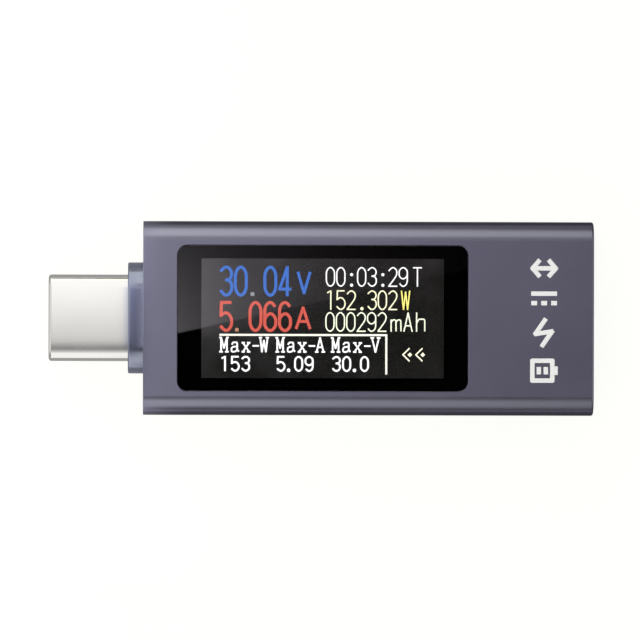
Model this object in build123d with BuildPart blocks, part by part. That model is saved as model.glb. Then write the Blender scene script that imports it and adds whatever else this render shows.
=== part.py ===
"""In-line power meter with a USB-C plug at one end and a USB-C socket at the other.

Frame: millimetres, +Z up through the screen, +X from the plug towards the socket, +Y towards the top
of the readout. The origin is under the middle of the whole meter, on the flat back that it rests on.

The case is a length of aluminium extrusion closed by two end caps. The board slides along ribs inside
it and carries the plug, the socket, the side switch and, on a plastic holder, the display.
"""

from build123d import *
import os

os.makedirs("parts", exist_ok=True)

# ------------------------------------------------------------------ case
case_length = 42.75
case_width = 18.4
case_height = 8.4
case_corner = 1.8  # outside corner of the extrusion
side_wall = 1.0
floor_wall = 1.0
roof_wall = 1.2
rear_edge_round = 0.2
front_edge_round = 0.08
rim_bevel = 0.04  # on the edge of the screen pocket

rib_reach = 0.6
rib_thick = 0.6
rib_root = 0.2  # how far a rib is rooted in the wall
slide_gap = 0.05  # between board and ribs

# ------------------------------------------------------------------ end caps
cap_gap = 0.03  # glue line round each cap
front_cap_thick = 1.5
rear_cap_thick = 1.2
rear_cap_inset = 0.2
collar_length = 1.45
collar_width = 10.6
collar_height = 5.0
collar_round = 0.15
port_gap = 0.04  # between a connector shell and the cap round it
port_bevel = 0.25

# ------------------------------------------------------------------ screen
lens_length = 27.57
lens_width = 13.8
lens_thick = 0.6
lens_corner = 0.95
lens_bevel = 0.03
lens_from_front = 3.24  # from the front of the case to the near edge of the lens
lens_gap = 0.03  # round the lens in its pocket
lens_drop = 0.06  # of the lens below the roof
mask_film = 0.01  # of clear film between the lens and its mask
mask_thick = 0.03
mask_margin = 0.03
mask_border_end = 2.29  # from the mask's window to the short edges of the lens
mask_border_side = 1.23  # and to its long edges
tape_thick = 0.1
tape_margin = 0.2
sight_margin = 0.22  # of the hole in the roof round the mask's window

# ------------------------------------------------------------------ display module
cell_margin_end = 0.72  # of the display past the mask's window
cell_margin_side = 0.88
glass_thick = 0.3
polariser_thick = 0.12
polariser_margin = 0.15
rear_polariser_thick = 0.1
driver_ledge = 2.7
driver_chip_length = 9.0
driver_chip_width = 0.8
driver_chip_thick = 0.28
driver_chip_gap = 0.4
backlight_margin = 0.2
backlight_thick = 0.68
gasket_thick = 0.2
gasket_margin = 0.1  # of the gasket round the hole in the roof
flex_width = 8.0
flex_thick = 0.12
flex_lap = 1.0  # of the flex on the driver ledge
flex_run = 0.25  # straight, past the ledge
flex_return = 1.5  # how far the flex comes back on the board

# ------------------------------------------------------------------ display holder
holder_gap = 0.1
holder_lip = 0.45
holder_bar = 1.3
holder_lip_drop = 0.1  # of the lips below the roof
holder_flex_gap = 0.2

# ------------------------------------------------------------------ board
board_thick = 0.8
board_side_gap = 0.15
board_front_gap = 0.6  # from the front cap
board_rear_gap = 0.25  # to the rear cap
board_tongue_length = 1.9
board_tongue_gap = 0.15

# ------------------------------------------------------------------ insulating sheet under the board
sheet_thick = 0.12
sheet_end_gap = 0.5
sheet_side_gap = 0.2
sheet_corner = 0.5

# ------------------------------------------------------------------ parts on the board
# places are (x from the board's front edge, y); chip sizes are (length, width, thickness, stand-off)
chip_bevel = 0.13
lead_thick = 0.13
lead_root = 0.1  # how far a lead is drawn into the chip before it is cut off flush
body_inset = 0.02  # of a part's body from its terminals' faces
controller_place = (9.4, 0.0)
controller_size = (7.0, 7.0, 1.4, 0.1)
controller_pitch = 0.8
controller_lead_reach = 1.0
amplifier_place = (19.9, 4.9)
amplifier_size = (3.0, 1.7, 1.0, 0.08)
amplifier_pitch = 0.95
regulator_place = (27.6, -4.6)
regulator_size = (4.5, 2.5, 1.5, 0.08)
regulator_pitch = 1.5
small_lead_reach = 0.65
shunt_place = (19.9, 0.0)
shunt_length = 6.35
shunt_width = 3.2
shunt_thick = 0.6
shunt_terminal = 1.2
inductor_place = (27.8, 1.4)
inductor_size = 4.0
inductor_thick = 2.0
inductor_corner = 0.5
crystal_place = (9.4, 6.1)
crystal_length = 3.2
crystal_width = 1.5
crystal_thick = 0.7
crystal_corner = 0.2
capacitor_size = (1.9, 1.25, 0.94, 0.4)  # length, width, thickness, terminal
capacitor_places = [(14.8, 5.6), (14.8, -5.6), (15.5, -3.2), (24.1, 5.2), (23.9, -3.5), (31.0, 4.6)]
resistor_size = (1.6, 0.84, 0.44, 0.3)
resistor_places = [(5.8, 5.4), (5.8, -5.4), (17.3, 5.6), (17.3, -5.6), (19.9, -3.1), (22.4, -5.4)]
memory_length = 3.0
memory_width = 2.0
memory_thick = 0.55

# ------------------------------------------------------------------ plug
plug_reach = 7.55  # from the collar to the tip
plug_width = 8.25
plug_height = 2.4
plug_wall = 0.3
plug_tip_round = 0.28
plug_lining_recess = 0.5
plug_slot_width = 6.9
plug_slot_height = 1.0
plug_slot_depth = 6.2
plug_slot_corner = 0.2
plug_leg_height = 1.4
plug_leg_gap = 0.1  # from the legs' ends to the board's shoulders
plug_board_gap = 0.1  # from the plug's shell to the front of the board
lining_gap = 0.01  # round an insulator in its shell
contact_count = 12
contact_pitch = 0.5
contact_width = 0.27
contact_thick = 0.12
contact_gap = 0.02  # round a contact in its channel
plug_contact_start = 1.5  # behind the tip
plug_contact_bump = 0.1
plug_contact_ramp = 0.3
plug_contact_flat = 0.25
plug_tail_length = 1.3
latch_thick = 0.3
latch_width = 0.3
latch_start = 1.7
latch_nose = 0.22
latch_nose_ramp = 0.35
latch_nose_flat = 0.25
latch_bar = 0.8
ground_strip_width = 4.6
ground_strip_length = 0.9
ground_strip_thick = 0.1

# ------------------------------------------------------------------ socket
socket_width = 8.94
socket_height = 3.16
socket_wall = 0.3
socket_length = 7.5
socket_recess = 0.08  # of the mouth behind the rear cap's face
socket_depth = 6.2
tongue_width = 6.69
tongue_thick = 0.7
tongue_setback = 1.0
tongue_bevel = 0.15
mid_plate_thick = 0.14
mid_plate_margin = 0.35
latch_notch_x = 1.6  # from the tongue's tip to the middle of each notch
latch_notch_length = 0.8
latch_notch_depth = 0.25
socket_contact_thick = 0.1
socket_contact_width = 0.25
socket_contact_setback = 0.5
socket_contact_ramp = 0.4
socket_tail_length = 1.1
shield_length = 1.2
shield_thick = 0.12
shield_gap = 0.02
socket_leg_length = 1.2
socket_leg_width = 0.9
socket_leg_thick = 0.25
socket_leg_front = 2.7  # from the shell's back end to the middle of the front legs
socket_leg_rear = 2.4  # from the shell's mouth to the middle of the rear legs
socket_lead_in = 0.12
socket_notch_gap = 0.15

# ------------------------------------------------------------------ side button and its switch
button_from_rear = 8.75  # from the rear of the case to the middle of the button
button_length = 4.2
button_height = 1.9
button_gap = 0.06
button_recess = 0.05
button_round = 0.2
button_travel = 0.25
flange_rim = 0.55  # of the flange past the button all round
flange_thick = 0.5
flange_gap = 0.05  # from the flange to the inside of the wall
hole_bevel = 0.12
relief_margin = 0.5  # of the milled ribs round the flange
switch_length = 3.9
switch_depth = 1.8
switch_height = 1.6
switch_gap = 0.15
stem_out = 0.42
stem_width = 1.5
stem_height = 0.7
stem_foot = 0.2
stem_foot_rim = 0.3
stem_gap = 0.05
stem_reach = 0.98
chamber_depth = 0.95
chamber_side_gap = 0.12
dome_thick = 0.06
dome_gap = 0.01  # to the stem and to the back of the chamber
dome_width = 0.9
dome_span = 2.1
cover_thick = 0.12
cover_foot = 0.9

# ------------------------------------------------------------------ places worked out from the sizes
total_length = plug_reach + collar_length + case_length
tip_x = -total_length / 2
collar_front_x = tip_x + plug_reach
case_front_x = collar_front_x + collar_length
case_rear_x = case_front_x + case_length
axis_z = case_height / 2

cavity_width = case_width - 2 * side_wall
cavity_height = case_height - floor_wall - roof_wall
cavity_mid_z = floor_wall + cavity_height / 2
cavity_corner = max(case_corner - side_wall, 0.3)
roof_under_z = case_height - roof_wall
side_inner_y = cavity_width / 2

board_low_z = axis_z - board_thick / 2
board_top_z = axis_z + board_thick / 2
board_front_x = case_front_x + front_cap_thick + board_front_gap
board_rear_x = case_rear_x - rear_cap_inset - rear_cap_thick - board_rear_gap
board_width = cavity_width - 2 * board_side_gap
lower_rib_z = board_low_z - slide_gap - rib_thick / 2
upper_rib_z = board_top_z + slide_gap + rib_thick / 2

lens_x = case_front_x + lens_from_front + lens_length / 2
lens_top_z = case_height - lens_drop
mask_z = lens_top_z - lens_thick - mask_film - mask_thick
mask_window_length = lens_length - 2 * mask_border_end
mask_window_width = lens_width - 2 * mask_border_side
tape_z = mask_z - tape_thick
sight_length = mask_window_length + 2 * sight_margin
sight_width = mask_window_width + 2 * sight_margin

polariser_z = roof_under_z - gasket_thick - polariser_thick
cover_glass_z = polariser_z - glass_thick
tft_glass_z = cover_glass_z - glass_thick
rear_polariser_z = tft_glass_z - rear_polariser_thick
backlight_z = rear_polariser_z - backlight_thick
cell_length = mask_window_length + 2 * cell_margin_end
cell_width = mask_window_width + 2 * cell_margin_side
cell_rear_x = lens_x + cell_length / 2
tft_rear_x = cell_rear_x + driver_ledge
tft_length = cell_length + driver_ledge
tft_mid_x = lens_x + driver_ledge / 2
backlight_length = tft_length + backlight_margin
backlight_width = cell_width + 2 * backlight_margin

plug_back_x = board_front_x - plug_board_gap
plug_slot_floor_x = tip_x + plug_slot_depth
ground_strip_low_z = axis_z - plug_slot_height / 2 - ground_strip_thick
plug_lining_x = tip_x + plug_lining_recess
plug_inner_width = plug_width - 2 * plug_wall
plug_inner_height = plug_height - 2 * plug_wall
plug_contact_low = board_thick / 2  # the contacts lie on the board's two faces

rear_cap_face_x = case_rear_x - rear_cap_inset
socket_mouth_x = rear_cap_face_x - socket_recess
socket_back_x = socket_mouth_x - socket_length
socket_floor_x = socket_mouth_x - socket_depth
socket_inner_width = socket_width - 2 * socket_wall
socket_inner_height = socket_height - 2 * socket_wall
tongue_tip_x = socket_mouth_x - tongue_setback
notch_front_x = socket_back_x - socket_notch_gap

switch_x = case_rear_x - button_from_rear
flange_front_y = -side_inner_y + flange_gap
flange_back_y = flange_front_y + flange_thick
switch_front_y = flange_back_y + stem_out
switch_back_y = switch_front_y + switch_depth
stem_back_y = flange_back_y + stem_reach
flange_length = button_length + 2 * flange_rim
flange_height = button_height + 2 * flange_rim
relief_length = flange_length + 2 * relief_margin

contact_rows = [(i - (contact_count - 1) / 2) * contact_pitch for i in range(contact_count)]


def finish(piece, label):
    """Name a finished piece and write it to its own file."""
    piece.part.label = label
    export_step(piece.part, f"parts/{label}.step")


def contact_row(outline, width, label):
    """A row of twelve alike contacts, from their closed outline as seen from the side, in XZ."""
    with BuildPart() as row:
        for y in contact_rows:
            with BuildSketch(Plane.XZ.offset(-y - width / 2)):
                with BuildLine():
                    Polyline(*outline, close=True)
                make_face()
        extrude(amount=width)
    finish(row, label)


# ------------------------------------------------------------------ case tube
rib_mid_y = side_inner_y + rib_root - (rib_reach + rib_root) / 2
rear_cap_back_x = rear_cap_face_x - rear_cap_thick
with BuildPart() as case_tube:
    with BuildSketch(Plane.YZ.offset(case_front_x)):
        with Locations((0, axis_z)):
            RectangleRounded(case_width, case_height, case_corner)
        with Locations((0, cavity_mid_z)):
            RectangleRounded(cavity_width, cavity_height, cavity_corner, mode=Mode.SUBTRACT)
    extrude(amount=case_length)
    # guide ribs for the board, stopped short of both ends so that the caps seat against them
    with BuildSketch(Plane.YZ.offset(case_front_x + front_cap_thick)):
        with Locations(*[(side * rib_mid_y, z) for side in (-1, 1) for z in (lower_rib_z, upper_rib_z)]):
            Rectangle(rib_reach + rib_root, rib_thick)
    extrude(amount=rear_cap_back_x - case_front_x - front_cap_thick)
    fillet(case_tube.faces().sort_by(Axis.X)[0].outer_wire().edges(), front_edge_round)
    fillet(case_tube.faces().sort_by(Axis.X)[-1].outer_wire().edges(), rear_edge_round)

    # screen pocket, and the sight hole through the ledge under it
    with BuildSketch(Plane.XY.offset(case_height)):
        with Locations((lens_x, 0)):
            RectangleRounded(lens_length + 2 * lens_gap, lens_width + 2 * lens_gap, lens_corner + lens_gap)
    extrude(amount=tape_z - case_height, mode=Mode.SUBTRACT)
    with BuildSketch(Plane.XY.offset(tape_z)):
        with Locations((lens_x, 0)):
            RectangleRounded(sight_length, sight_width, sight_margin)
    extrude(amount=roof_under_z - tape_z, mode=Mode.SUBTRACT)
    chamfer(case_tube.faces().sort_by(Axis.Z)[-1].inner_wires()[0].edges(), rim_bevel)

    # hole for the side button, and the ribs milled away behind it
    with BuildSketch(Plane.XZ.offset(case_width / 2)):
        with Locations((switch_x, axis_z)):
            SlotOverall(button_length + 2 * button_gap, button_height + 2 * button_gap)
    extrude(amount=-side_wall, mode=Mode.SUBTRACT)
    chamfer(case_tube.faces().sort_by(Axis.Y)[0].inner_wires()[0].edges(), hole_bevel)
    with BuildSketch(Plane.XZ.offset(side_inner_y)):
        with Locations((switch_x, axis_z)):
            Rectangle(relief_length, upper_rib_z - lower_rib_z + 2 * rib_thick)
    extrude(amount=-rib_reach, mode=Mode.SUBTRACT)
finish(case_tube, "case_tube")

# ------------------------------------------------------------------ end caps
cap_width = cavity_width - 2 * cap_gap
cap_height = cavity_height - 2 * cap_gap
with BuildPart() as front_cap:
    with BuildSketch(Plane.YZ.offset(case_front_x)):
        with Locations((0, cavity_mid_z)):
            RectangleRounded(cap_width, cap_height, cavity_corner - cap_gap)
    extrude(amount=front_cap_thick)
    with BuildSketch(Plane.YZ.offset(case_front_x)):
        with Locations((0, axis_z)):
            SlotOverall(collar_width, collar_height)
    extrude(amount=-collar_length)
    fillet(front_cap.faces().sort_by(Axis.X)[0].outer_wire().edges(), collar_round)
    with BuildSketch(Plane.YZ.offset(collar_front_x)):
        with Locations((0, axis_z)):
            SlotOverall(plug_width + 2 * port_gap, plug_height + 2 * port_gap)
    extrude(amount=collar_length + front_cap_thick, mode=Mode.SUBTRACT)
    chamfer(front_cap.faces().sort_by(Axis.X)[0].inner_wires()[0].edges(), rim_bevel)
finish(front_cap, "front_cap")

with BuildPart() as rear_cap:
    with BuildSketch(Plane.YZ.offset(rear_cap_face_x)):
        with Locations((0, cavity_mid_z)):
            RectangleRounded(cap_width, cap_height, cavity_corner - cap_gap)
        with Locations((0, axis_z)):
            SlotOverall(socket_width + 2 * port_gap, socket_height + 2 * port_gap, mode=Mode.SUBTRACT)
    extrude(amount=-rear_cap_thick)
    chamfer(rear_cap.faces().sort_by(Axis.X)[-1].inner_wires()[0].edges(), port_bevel)
finish(rear_cap, "rear_cap")

# ------------------------------------------------------------------ screen lens and its layers
with BuildPart() as screen_lens:
    with BuildSketch(Plane.XY.offset(lens_top_z - lens_thick)):
        with Locations((lens_x, 0)):
            RectangleRounded(lens_length, lens_width, lens_corner)
    extrude(amount=lens_thick)
    chamfer(screen_lens.faces().sort_by(Axis.Z)[-1].edges(), lens_bevel)
finish(screen_lens, "screen_lens")

with BuildPart() as lens_mask:
    with BuildSketch(Plane.XY.offset(mask_z)):
        with Locations((lens_x, 0)):
            RectangleRounded(lens_length - 2 * mask_margin, lens_width - 2 * mask_margin, lens_corner - mask_margin)
            Rectangle(mask_window_length, mask_window_width, mode=Mode.SUBTRACT)
    extrude(amount=mask_thick)
finish(lens_mask, "lens_mask")

with BuildPart() as lens_tape:
    with BuildSketch(Plane.XY.offset(tape_z)):
        with Locations((lens_x, 0)):
            RectangleRounded(lens_length - 2 * tape_margin, lens_width - 2 * tape_margin, lens_corner - tape_margin)
            Rectangle(sight_length + 2 * tape_margin, sight_width + 2 * tape_margin, mode=Mode.SUBTRACT)
    extrude(amount=tape_thick)
finish(lens_tape, "lens_tape")

# ------------------------------------------------------------------ display module
with BuildPart() as display_gasket:
    with BuildSketch(Plane.XY.offset(roof_under_z - gasket_thick)):
        with Locations((lens_x, 0)):
            Rectangle(cell_length, cell_width)
            Rectangle(sight_length + 2 * gasket_margin, sight_width + 2 * gasket_margin, mode=Mode.SUBTRACT)
    extrude(amount=gasket_thick)
finish(display_gasket, "display_gasket")

with BuildPart() as display_polariser:
    with BuildSketch(Plane.XY.offset(polariser_z)):
        with Locations((lens_x, 0)):
            Rectangle(cell_length - 2 * polariser_margin, cell_width - 2 * polariser_margin)
    extrude(amount=polariser_thick)
finish(display_polariser, "display_polariser")

with BuildPart() as display_cover_glass:
    with BuildSketch(Plane.XY.offset(cover_glass_z)):
        with Locations((lens_x, 0)):
            Rectangle(cell_length, cell_width)
    extrude(amount=glass_thick)
finish(display_cover_glass, "display_cover_glass")

with BuildPart() as display_tft_glass:
    with BuildSketch(Plane.XY.offset(tft_glass_z)):
        with Locations((tft_mid_x, 0)):
            Rectangle(tft_length, cell_width)
    extrude(amount=glass_thick)
finish(display_tft_glass, "display_tft_glass")

with BuildPart() as display_rear_polariser:
    with BuildSketch(Plane.XY.offset(rear_polariser_z)):
        with Locations((lens_x, 0)):
            Rectangle(cell_length - 2 * polariser_margin, cell_width - 2 * polariser_margin)
    extrude(amount=rear_polariser_thick)
finish(display_rear_polariser, "display_rear_polariser")

with BuildPart() as display_backlight:
    with BuildSketch(Plane.XY.offset(backlight_z)):
        with Locations((tft_mid_x, 0)):
            RectangleRounded(backlight_length, backlight_width, backlight_margin)
    extrude(amount=backlight_thick)
finish(display_backlight, "display_backlight")

with BuildPart() as display_driver_chip:
    with BuildSketch(Plane.XY.offset(cover_glass_z)):
        with Locations((cell_rear_x + driver_chip_gap + driver_chip_width / 2, 0)):
            Rectangle(driver_chip_width, driver_chip_length)
    extrude(amount=driver_chip_thick)
finish(display_driver_chip, "display_driver_chip")

flex_fold_x = tft_rear_x + flex_run
flex_upper_z = cover_glass_z + flex_thick / 2  # middle of the film where it lies on the driver ledge
flex_lower_z = board_top_z + flex_thick / 2
with BuildPart() as display_flex:
    with BuildSketch(Plane.XZ.offset(-flex_width / 2)):
        with BuildLine():
            upper = Line((tft_rear_x - flex_lap, flex_upper_z), (flex_fold_x, flex_upper_z))
            fold = RadiusArc(upper @ 1, (flex_fold_x, flex_lower_z), (flex_upper_z - flex_lower_z) / 2)
            Line(fold @ 1, (flex_fold_x - flex_return, flex_lower_z))
        trace(line_width=flex_thick)
    extrude(amount=flex_width)
finish(display_flex, "display_flex")

# ------------------------------------------------------------------ display holder
holder_inner_width = backlight_width + 2 * holder_gap
holder_outer_width = holder_inner_width + 2 * holder_lip
holder_front_x = tft_mid_x - backlight_length / 2 - holder_gap - holder_lip
holder_rear_x = flex_fold_x - flex_return - holder_flex_gap
holder_length = holder_rear_x - holder_front_x
holder_mid_x = (holder_front_x + holder_rear_x) / 2
with BuildPart() as display_holder:
    with BuildSketch(Plane.XY.offset(board_top_z)):
        with Locations((holder_mid_x, 0)):
            Rectangle(holder_length, holder_outer_width)
            Rectangle(holder_length - 2 * holder_bar, holder_outer_width - 2 * holder_bar, mode=Mode.SUBTRACT)
    extrude(amount=backlight_z - board_top_z)
    with BuildSketch(Plane.XY.offset(backlight_z)):
        with Locations((holder_mid_x, 0)):
            Rectangle(holder_length, holder_outer_width)
        with Locations((holder_mid_x + holder_lip / 2, 0)):
            Rectangle(holder_length - holder_lip, holder_inner_width, mode=Mode.SUBTRACT)
    extrude(amount=roof_under_z - holder_lip_drop - backlight_z)
finish(display_holder, "display_holder")

# ------------------------------------------------------------------ board
board_tongue_width = plug_inner_width - 2 * board_tongue_gap
board_wide_x = board_front_x + board_tongue_length
board_wide_length = board_rear_x - board_wide_x
socket_notch_length = board_rear_x - notch_front_x
switch_notch_y = switch_back_y + switch_gap
board_edge_y = -board_width / 2
with BuildPart() as main_board:
    with BuildSketch(Plane.XY.offset(board_low_z)):
        with Locations((board_wide_x + board_wide_length / 2, 0)):
            Rectangle(board_wide_length, board_width)
        with Locations((board_front_x + board_tongue_length / 2, 0)):
            Rectangle(board_tongue_length, board_tongue_width)
        # notches for the socket's shell and for the side switch and the button's flange
        with Locations((notch_front_x + socket_notch_length / 2, 0)):
            Rectangle(socket_notch_length, socket_width + 2 * socket_notch_gap, mode=Mode.SUBTRACT)
        with Locations((switch_x, (switch_notch_y + board_edge_y) / 2)):
            Rectangle(switch_length + 2 * switch_gap, switch_notch_y - board_edge_y, mode=Mode.SUBTRACT)
        with Locations((switch_x, (switch_front_y + board_edge_y) / 2)):
            Rectangle(relief_length, switch_front_y - board_edge_y, mode=Mode.SUBTRACT)
    extrude(amount=board_thick)
finish(main_board, "main_board")

sheet_length = board_rear_x - board_front_x - 2 * sheet_end_gap
sheet_width = cavity_width - 2 * cavity_corner - 2 * sheet_side_gap
with BuildPart() as insulating_sheet:
    with BuildSketch(Plane.XY.offset(floor_wall)):
        with Locations(((board_front_x + board_rear_x) / 2, 0)):
            RectangleRounded(sheet_length, sheet_width, sheet_corner)
    extrude(amount=sheet_thick)
finish(insulating_sheet, "insulating_sheet")


def underside(place, lift=0.0):
    """A plane that faces down, at lift below the board's underside; place is (x from its front edge, y)."""
    x, y = place
    return Plane(origin=(board_front_x + x, y, board_low_z - lift), x_dir=(1, 0, 0), z_dir=(0, 0, -1))


def gull_lead(reach, rise, width):
    """One bent lead along +X, from inside a chip's side at x = 0 down to its foot on the plane z = 0."""
    with BuildPart() as lead:
        with BuildSketch(Plane.XZ.offset(-width / 2)):
            with BuildLine():
                Polyline(
                    (-lead_root, rise),
                    (reach / 3, rise),
                    (reach / 2, lead_thick / 2),
                    (reach, lead_thick / 2),
                )
            trace(line_width=lead_thick)
        extrude(amount=width)
    return lead.part


def chip_leads(place, size, lead, pitch, per_side, sides):
    """Alike leads round a chip of that size under the board, cut off where they enter its body."""
    length, width, thick, stand = size
    reach = (length if sides == 4 else width) / 2
    with BuildPart() as leads:
        with Locations(underside(place)):
            with PolarLocations(0, sides, start_angle=0 if sides == 4 else 90):
                with Locations(*[(reach, (i - (per_side - 1) / 2) * pitch) for i in range(per_side)]):
                    add(lead)
        with BuildSketch(underside(place, stand)):
            Rectangle(length, width)
        extrude(amount=thick, mode=Mode.SUBTRACT)
    return leads.part


def chip(place, size, bevel, label):
    """A chip body under the board, with its outer edges bevelled."""
    length, width, thick, stand = size
    with BuildPart() as body:
        with BuildSketch(underside(place, stand)):
            Rectangle(length, width)
        extrude(amount=thick)
        chamfer(body.faces().sort_by(Axis.Z)[0].edges(), bevel)
    finish(body, label)


def end_terminals(places, length, width, thick, terminal, label):
    """The two metal ends of each of several alike two-terminal parts under the board."""
    with BuildPart() as ends:
        for place in places:
            with BuildSketch(underside(place)):
                with GridLocations(length - terminal, 0, 2, 1):
                    Rectangle(terminal, width)
        extrude(amount=thick)
    finish(ends, label)


def bodies_between(places, length, width, thick, terminal, label):
    """The bodies between the metal ends of several alike two-terminal parts under the board."""
    with BuildPart() as bodies:
        for place in places:
            with BuildSketch(underside(place, body_inset)):
                Rectangle(length - 2 * terminal, width - 2 * body_inset)
        extrude(amount=thick - 2 * body_inset)
    finish(bodies, label)


chip(controller_place, controller_size, chip_bevel, "controller_chip")
chip(amplifier_place, amplifier_size, chip_bevel, "sense_amplifier")
chip(regulator_place, regulator_size, chip_bevel, "voltage_regulator")

controller_lead = gull_lead(controller_lead_reach, controller_size[3] + controller_size[2] / 2, 0.37)
amplifier_lead = gull_lead(small_lead_reach, amplifier_size[3] + amplifier_size[2] / 2, 0.4)
regulator_lead = gull_lead(small_lead_reach, regulator_size[3] + regulator_size[2] / 2, 0.5)
controller_lead_set = chip_leads(controller_place, controller_size, controller_lead, controller_pitch, 8, 4)
amplifier_lead_set = chip_leads(amplifier_place, amplifier_size, amplifier_lead, amplifier_pitch, 3, 2)
regulator_lead_set = chip_leads(regulator_place, regulator_size, regulator_lead, regulator_pitch, 3, 2)

with BuildPart() as controller_leads:
    add(controller_lead_set)
finish(controller_leads, "controller_leads")

with BuildPart() as small_chip_leads:
    add(amplifier_lead_set)
    add(regulator_lead_set)
finish(small_chip_leads, "small_chip_leads")

shunt_size = (shunt_length, shunt_width, shunt_thick, shunt_terminal)
end_terminals([shunt_place], *shunt_size, "shunt_terminals")
bodies_between([shunt_place], *shunt_size, "current_shunt")
end_terminals(capacitor_places, *capacitor_size, "capacitor_terminals")
bodies_between(capacitor_places, *capacitor_size, "capacitor_bodies")
end_terminals(resistor_places, *resistor_size, "resistor_terminals")
bodies_between(resistor_places, *resistor_size, "resistor_bodies")

with BuildPart() as power_inductor:
    with BuildSketch(underside(inductor_place, body_inset)):
        RectangleRounded(inductor_size, inductor_size, inductor_corner)
    extrude(amount=inductor_thick)
    fillet(power_inductor.faces().sort_by(Axis.Z)[0].edges(), inductor_corner / 2)
finish(power_inductor, "power_inductor")

with BuildPart() as clock_crystal:
    with BuildSketch(underside(crystal_place)):
        RectangleRounded(crystal_length, crystal_width, crystal_corner)
    extrude(amount=crystal_thick)
finish(clock_crystal, "clock_crystal")

with BuildPart() as memory_chip:
    with BuildSketch(Plane.XY.offset(board_top_z + body_inset)):
        with Locations((lens_x, 0)):
            Rectangle(memory_length, memory_width)
    extrude(amount=memory_thick)
finish(memory_chip, "memory_chip")

# ------------------------------------------------------------------ plug
with BuildPart() as plug_shell:
    with BuildSketch(Plane.YZ.offset(tip_x)):
        with Locations((0, axis_z)):
            SlotOverall(plug_width, plug_height)
            SlotOverall(plug_inner_width, plug_inner_height, mode=Mode.SUBTRACT)
    extrude(amount=plug_back_x - tip_x)
    fillet(plug_shell.faces().sort_by(Axis.X)[0].outer_wire().edges(), plug_tip_round)
    # two legs that pass beside the board's tongue and are soldered to it
    with BuildSketch(Plane.YZ.offset(plug_back_x)):
        with Locations((0, axis_z)):
            SlotOverall(plug_width, plug_height)
            SlotOverall(plug_inner_width, plug_inner_height, mode=Mode.SUBTRACT)
            Rectangle(plug_width, plug_leg_height, mode=Mode.INTERSECT)
    extrude(amount=board_wide_x - plug_back_x - plug_leg_gap)
finish(plug_shell, "plug_shell")

with BuildPart() as plug_lining:
    with BuildSketch(Plane.YZ.offset(plug_lining_x)):
        with Locations((0, axis_z)):
            SlotOverall(plug_inner_width - 2 * lining_gap, plug_inner_height - 2 * lining_gap)
    extrude(amount=plug_back_x - plug_lining_x)
    with BuildSketch(Plane.YZ.offset(plug_lining_x)):
        with Locations((0, axis_z)):
            RectangleRounded(plug_slot_width, plug_slot_height, plug_slot_corner)
    extrude(amount=plug_slot_floor_x - plug_lining_x, mode=Mode.SUBTRACT)
    # channels for the contacts, above and below the slot
    channel_width = contact_width + 2 * contact_gap
    channel_height = 2 * (plug_contact_low + contact_thick + contact_gap)
    with BuildSketch(Plane.YZ.offset(tip_x + plug_contact_start)):
        with Locations(*[(y, axis_z) for y in contact_rows]):
            Rectangle(channel_width, channel_height)
        with Locations((0, axis_z)):
            Rectangle(plug_slot_width, 2 * (plug_contact_low - contact_gap), mode=Mode.SUBTRACT)
    extrude(amount=plug_back_x - tip_x - plug_contact_start, mode=Mode.SUBTRACT)
    # room for the side latches and the bar that joins them
    latch_room_length = plug_slot_floor_x + latch_bar + contact_gap - tip_x - latch_start
    with BuildSketch(Plane.XY.offset(axis_z - latch_thick / 2 - contact_gap)):
        with Locations((tip_x + latch_start + latch_room_length / 2, 0)):
            Rectangle(latch_room_length, plug_slot_width + 2 * latch_width + 2 * contact_gap)
    extrude(amount=latch_thick + 2 * contact_gap, mode=Mode.SUBTRACT)
    # seats for the ground strips in the mouth, open towards the slot
    with BuildSketch(Plane.XY.offset(ground_strip_low_z)):
        with Locations((plug_lining_x + ground_strip_length / 2, 0)):
            Rectangle(ground_strip_length, ground_strip_width)
    extrude(amount=plug_slot_height + 2 * ground_strip_thick, mode=Mode.SUBTRACT)
finish(plug_lining, "plug_lining")

plug_contact_x = tip_x + plug_contact_start + contact_gap
bump_start_x = plug_contact_x + plug_contact_ramp / 2
bump_end_x = bump_start_x + 2 * plug_contact_ramp + plug_contact_flat
for row_name, side in (("upper", 1), ("lower", -1)):
    inner_z = axis_z + side * plug_contact_low
    outer_z = inner_z + side * contact_thick
    bump_z = inner_z - side * plug_contact_bump
    plug_contact_outline = [
        (plug_contact_x, outer_z),
        (board_front_x + plug_tail_length, outer_z),
        (board_front_x + plug_tail_length, inner_z),
        (bump_end_x, inner_z),
        (bump_end_x - plug_contact_ramp, bump_z),
        (bump_start_x + plug_contact_ramp, bump_z),
        (bump_start_x, inner_z),
        (plug_contact_x, inner_z),
    ]
    contact_row(plug_contact_outline, contact_width, f"plug_contacts_{row_name}")

arm_front_x = tip_x + latch_start + contact_gap
arm_back_x = plug_slot_floor_x + latch_bar
arm_mid_y = (plug_slot_width + latch_width) / 2
with BuildPart() as plug_latch:
    with BuildSketch(Plane.XY.offset(axis_z - latch_thick / 2)):
        with Locations((arm_back_x - (latch_bar - contact_gap) / 2, 0)):
            Rectangle(latch_bar - contact_gap, 2 * arm_mid_y)
        for side in (-1, 1):
            edge_y = side * plug_slot_width / 2
            with Locations(((arm_front_x + arm_back_x) / 2, side * arm_mid_y)):
                Rectangle(arm_back_x - arm_front_x, latch_width)
            with BuildLine():
                Polyline(
                    (arm_front_x, edge_y),
                    (arm_front_x + latch_nose_ramp, edge_y - side * latch_nose),
                    (arm_front_x + latch_nose_ramp + latch_nose_flat, edge_y - side * latch_nose),
                    (arm_front_x + 3 * latch_nose_ramp + latch_nose_flat, edge_y),
                    close=True,
                )
            make_face()
    extrude(amount=latch_thick)
finish(plug_latch, "plug_latch")

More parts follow.
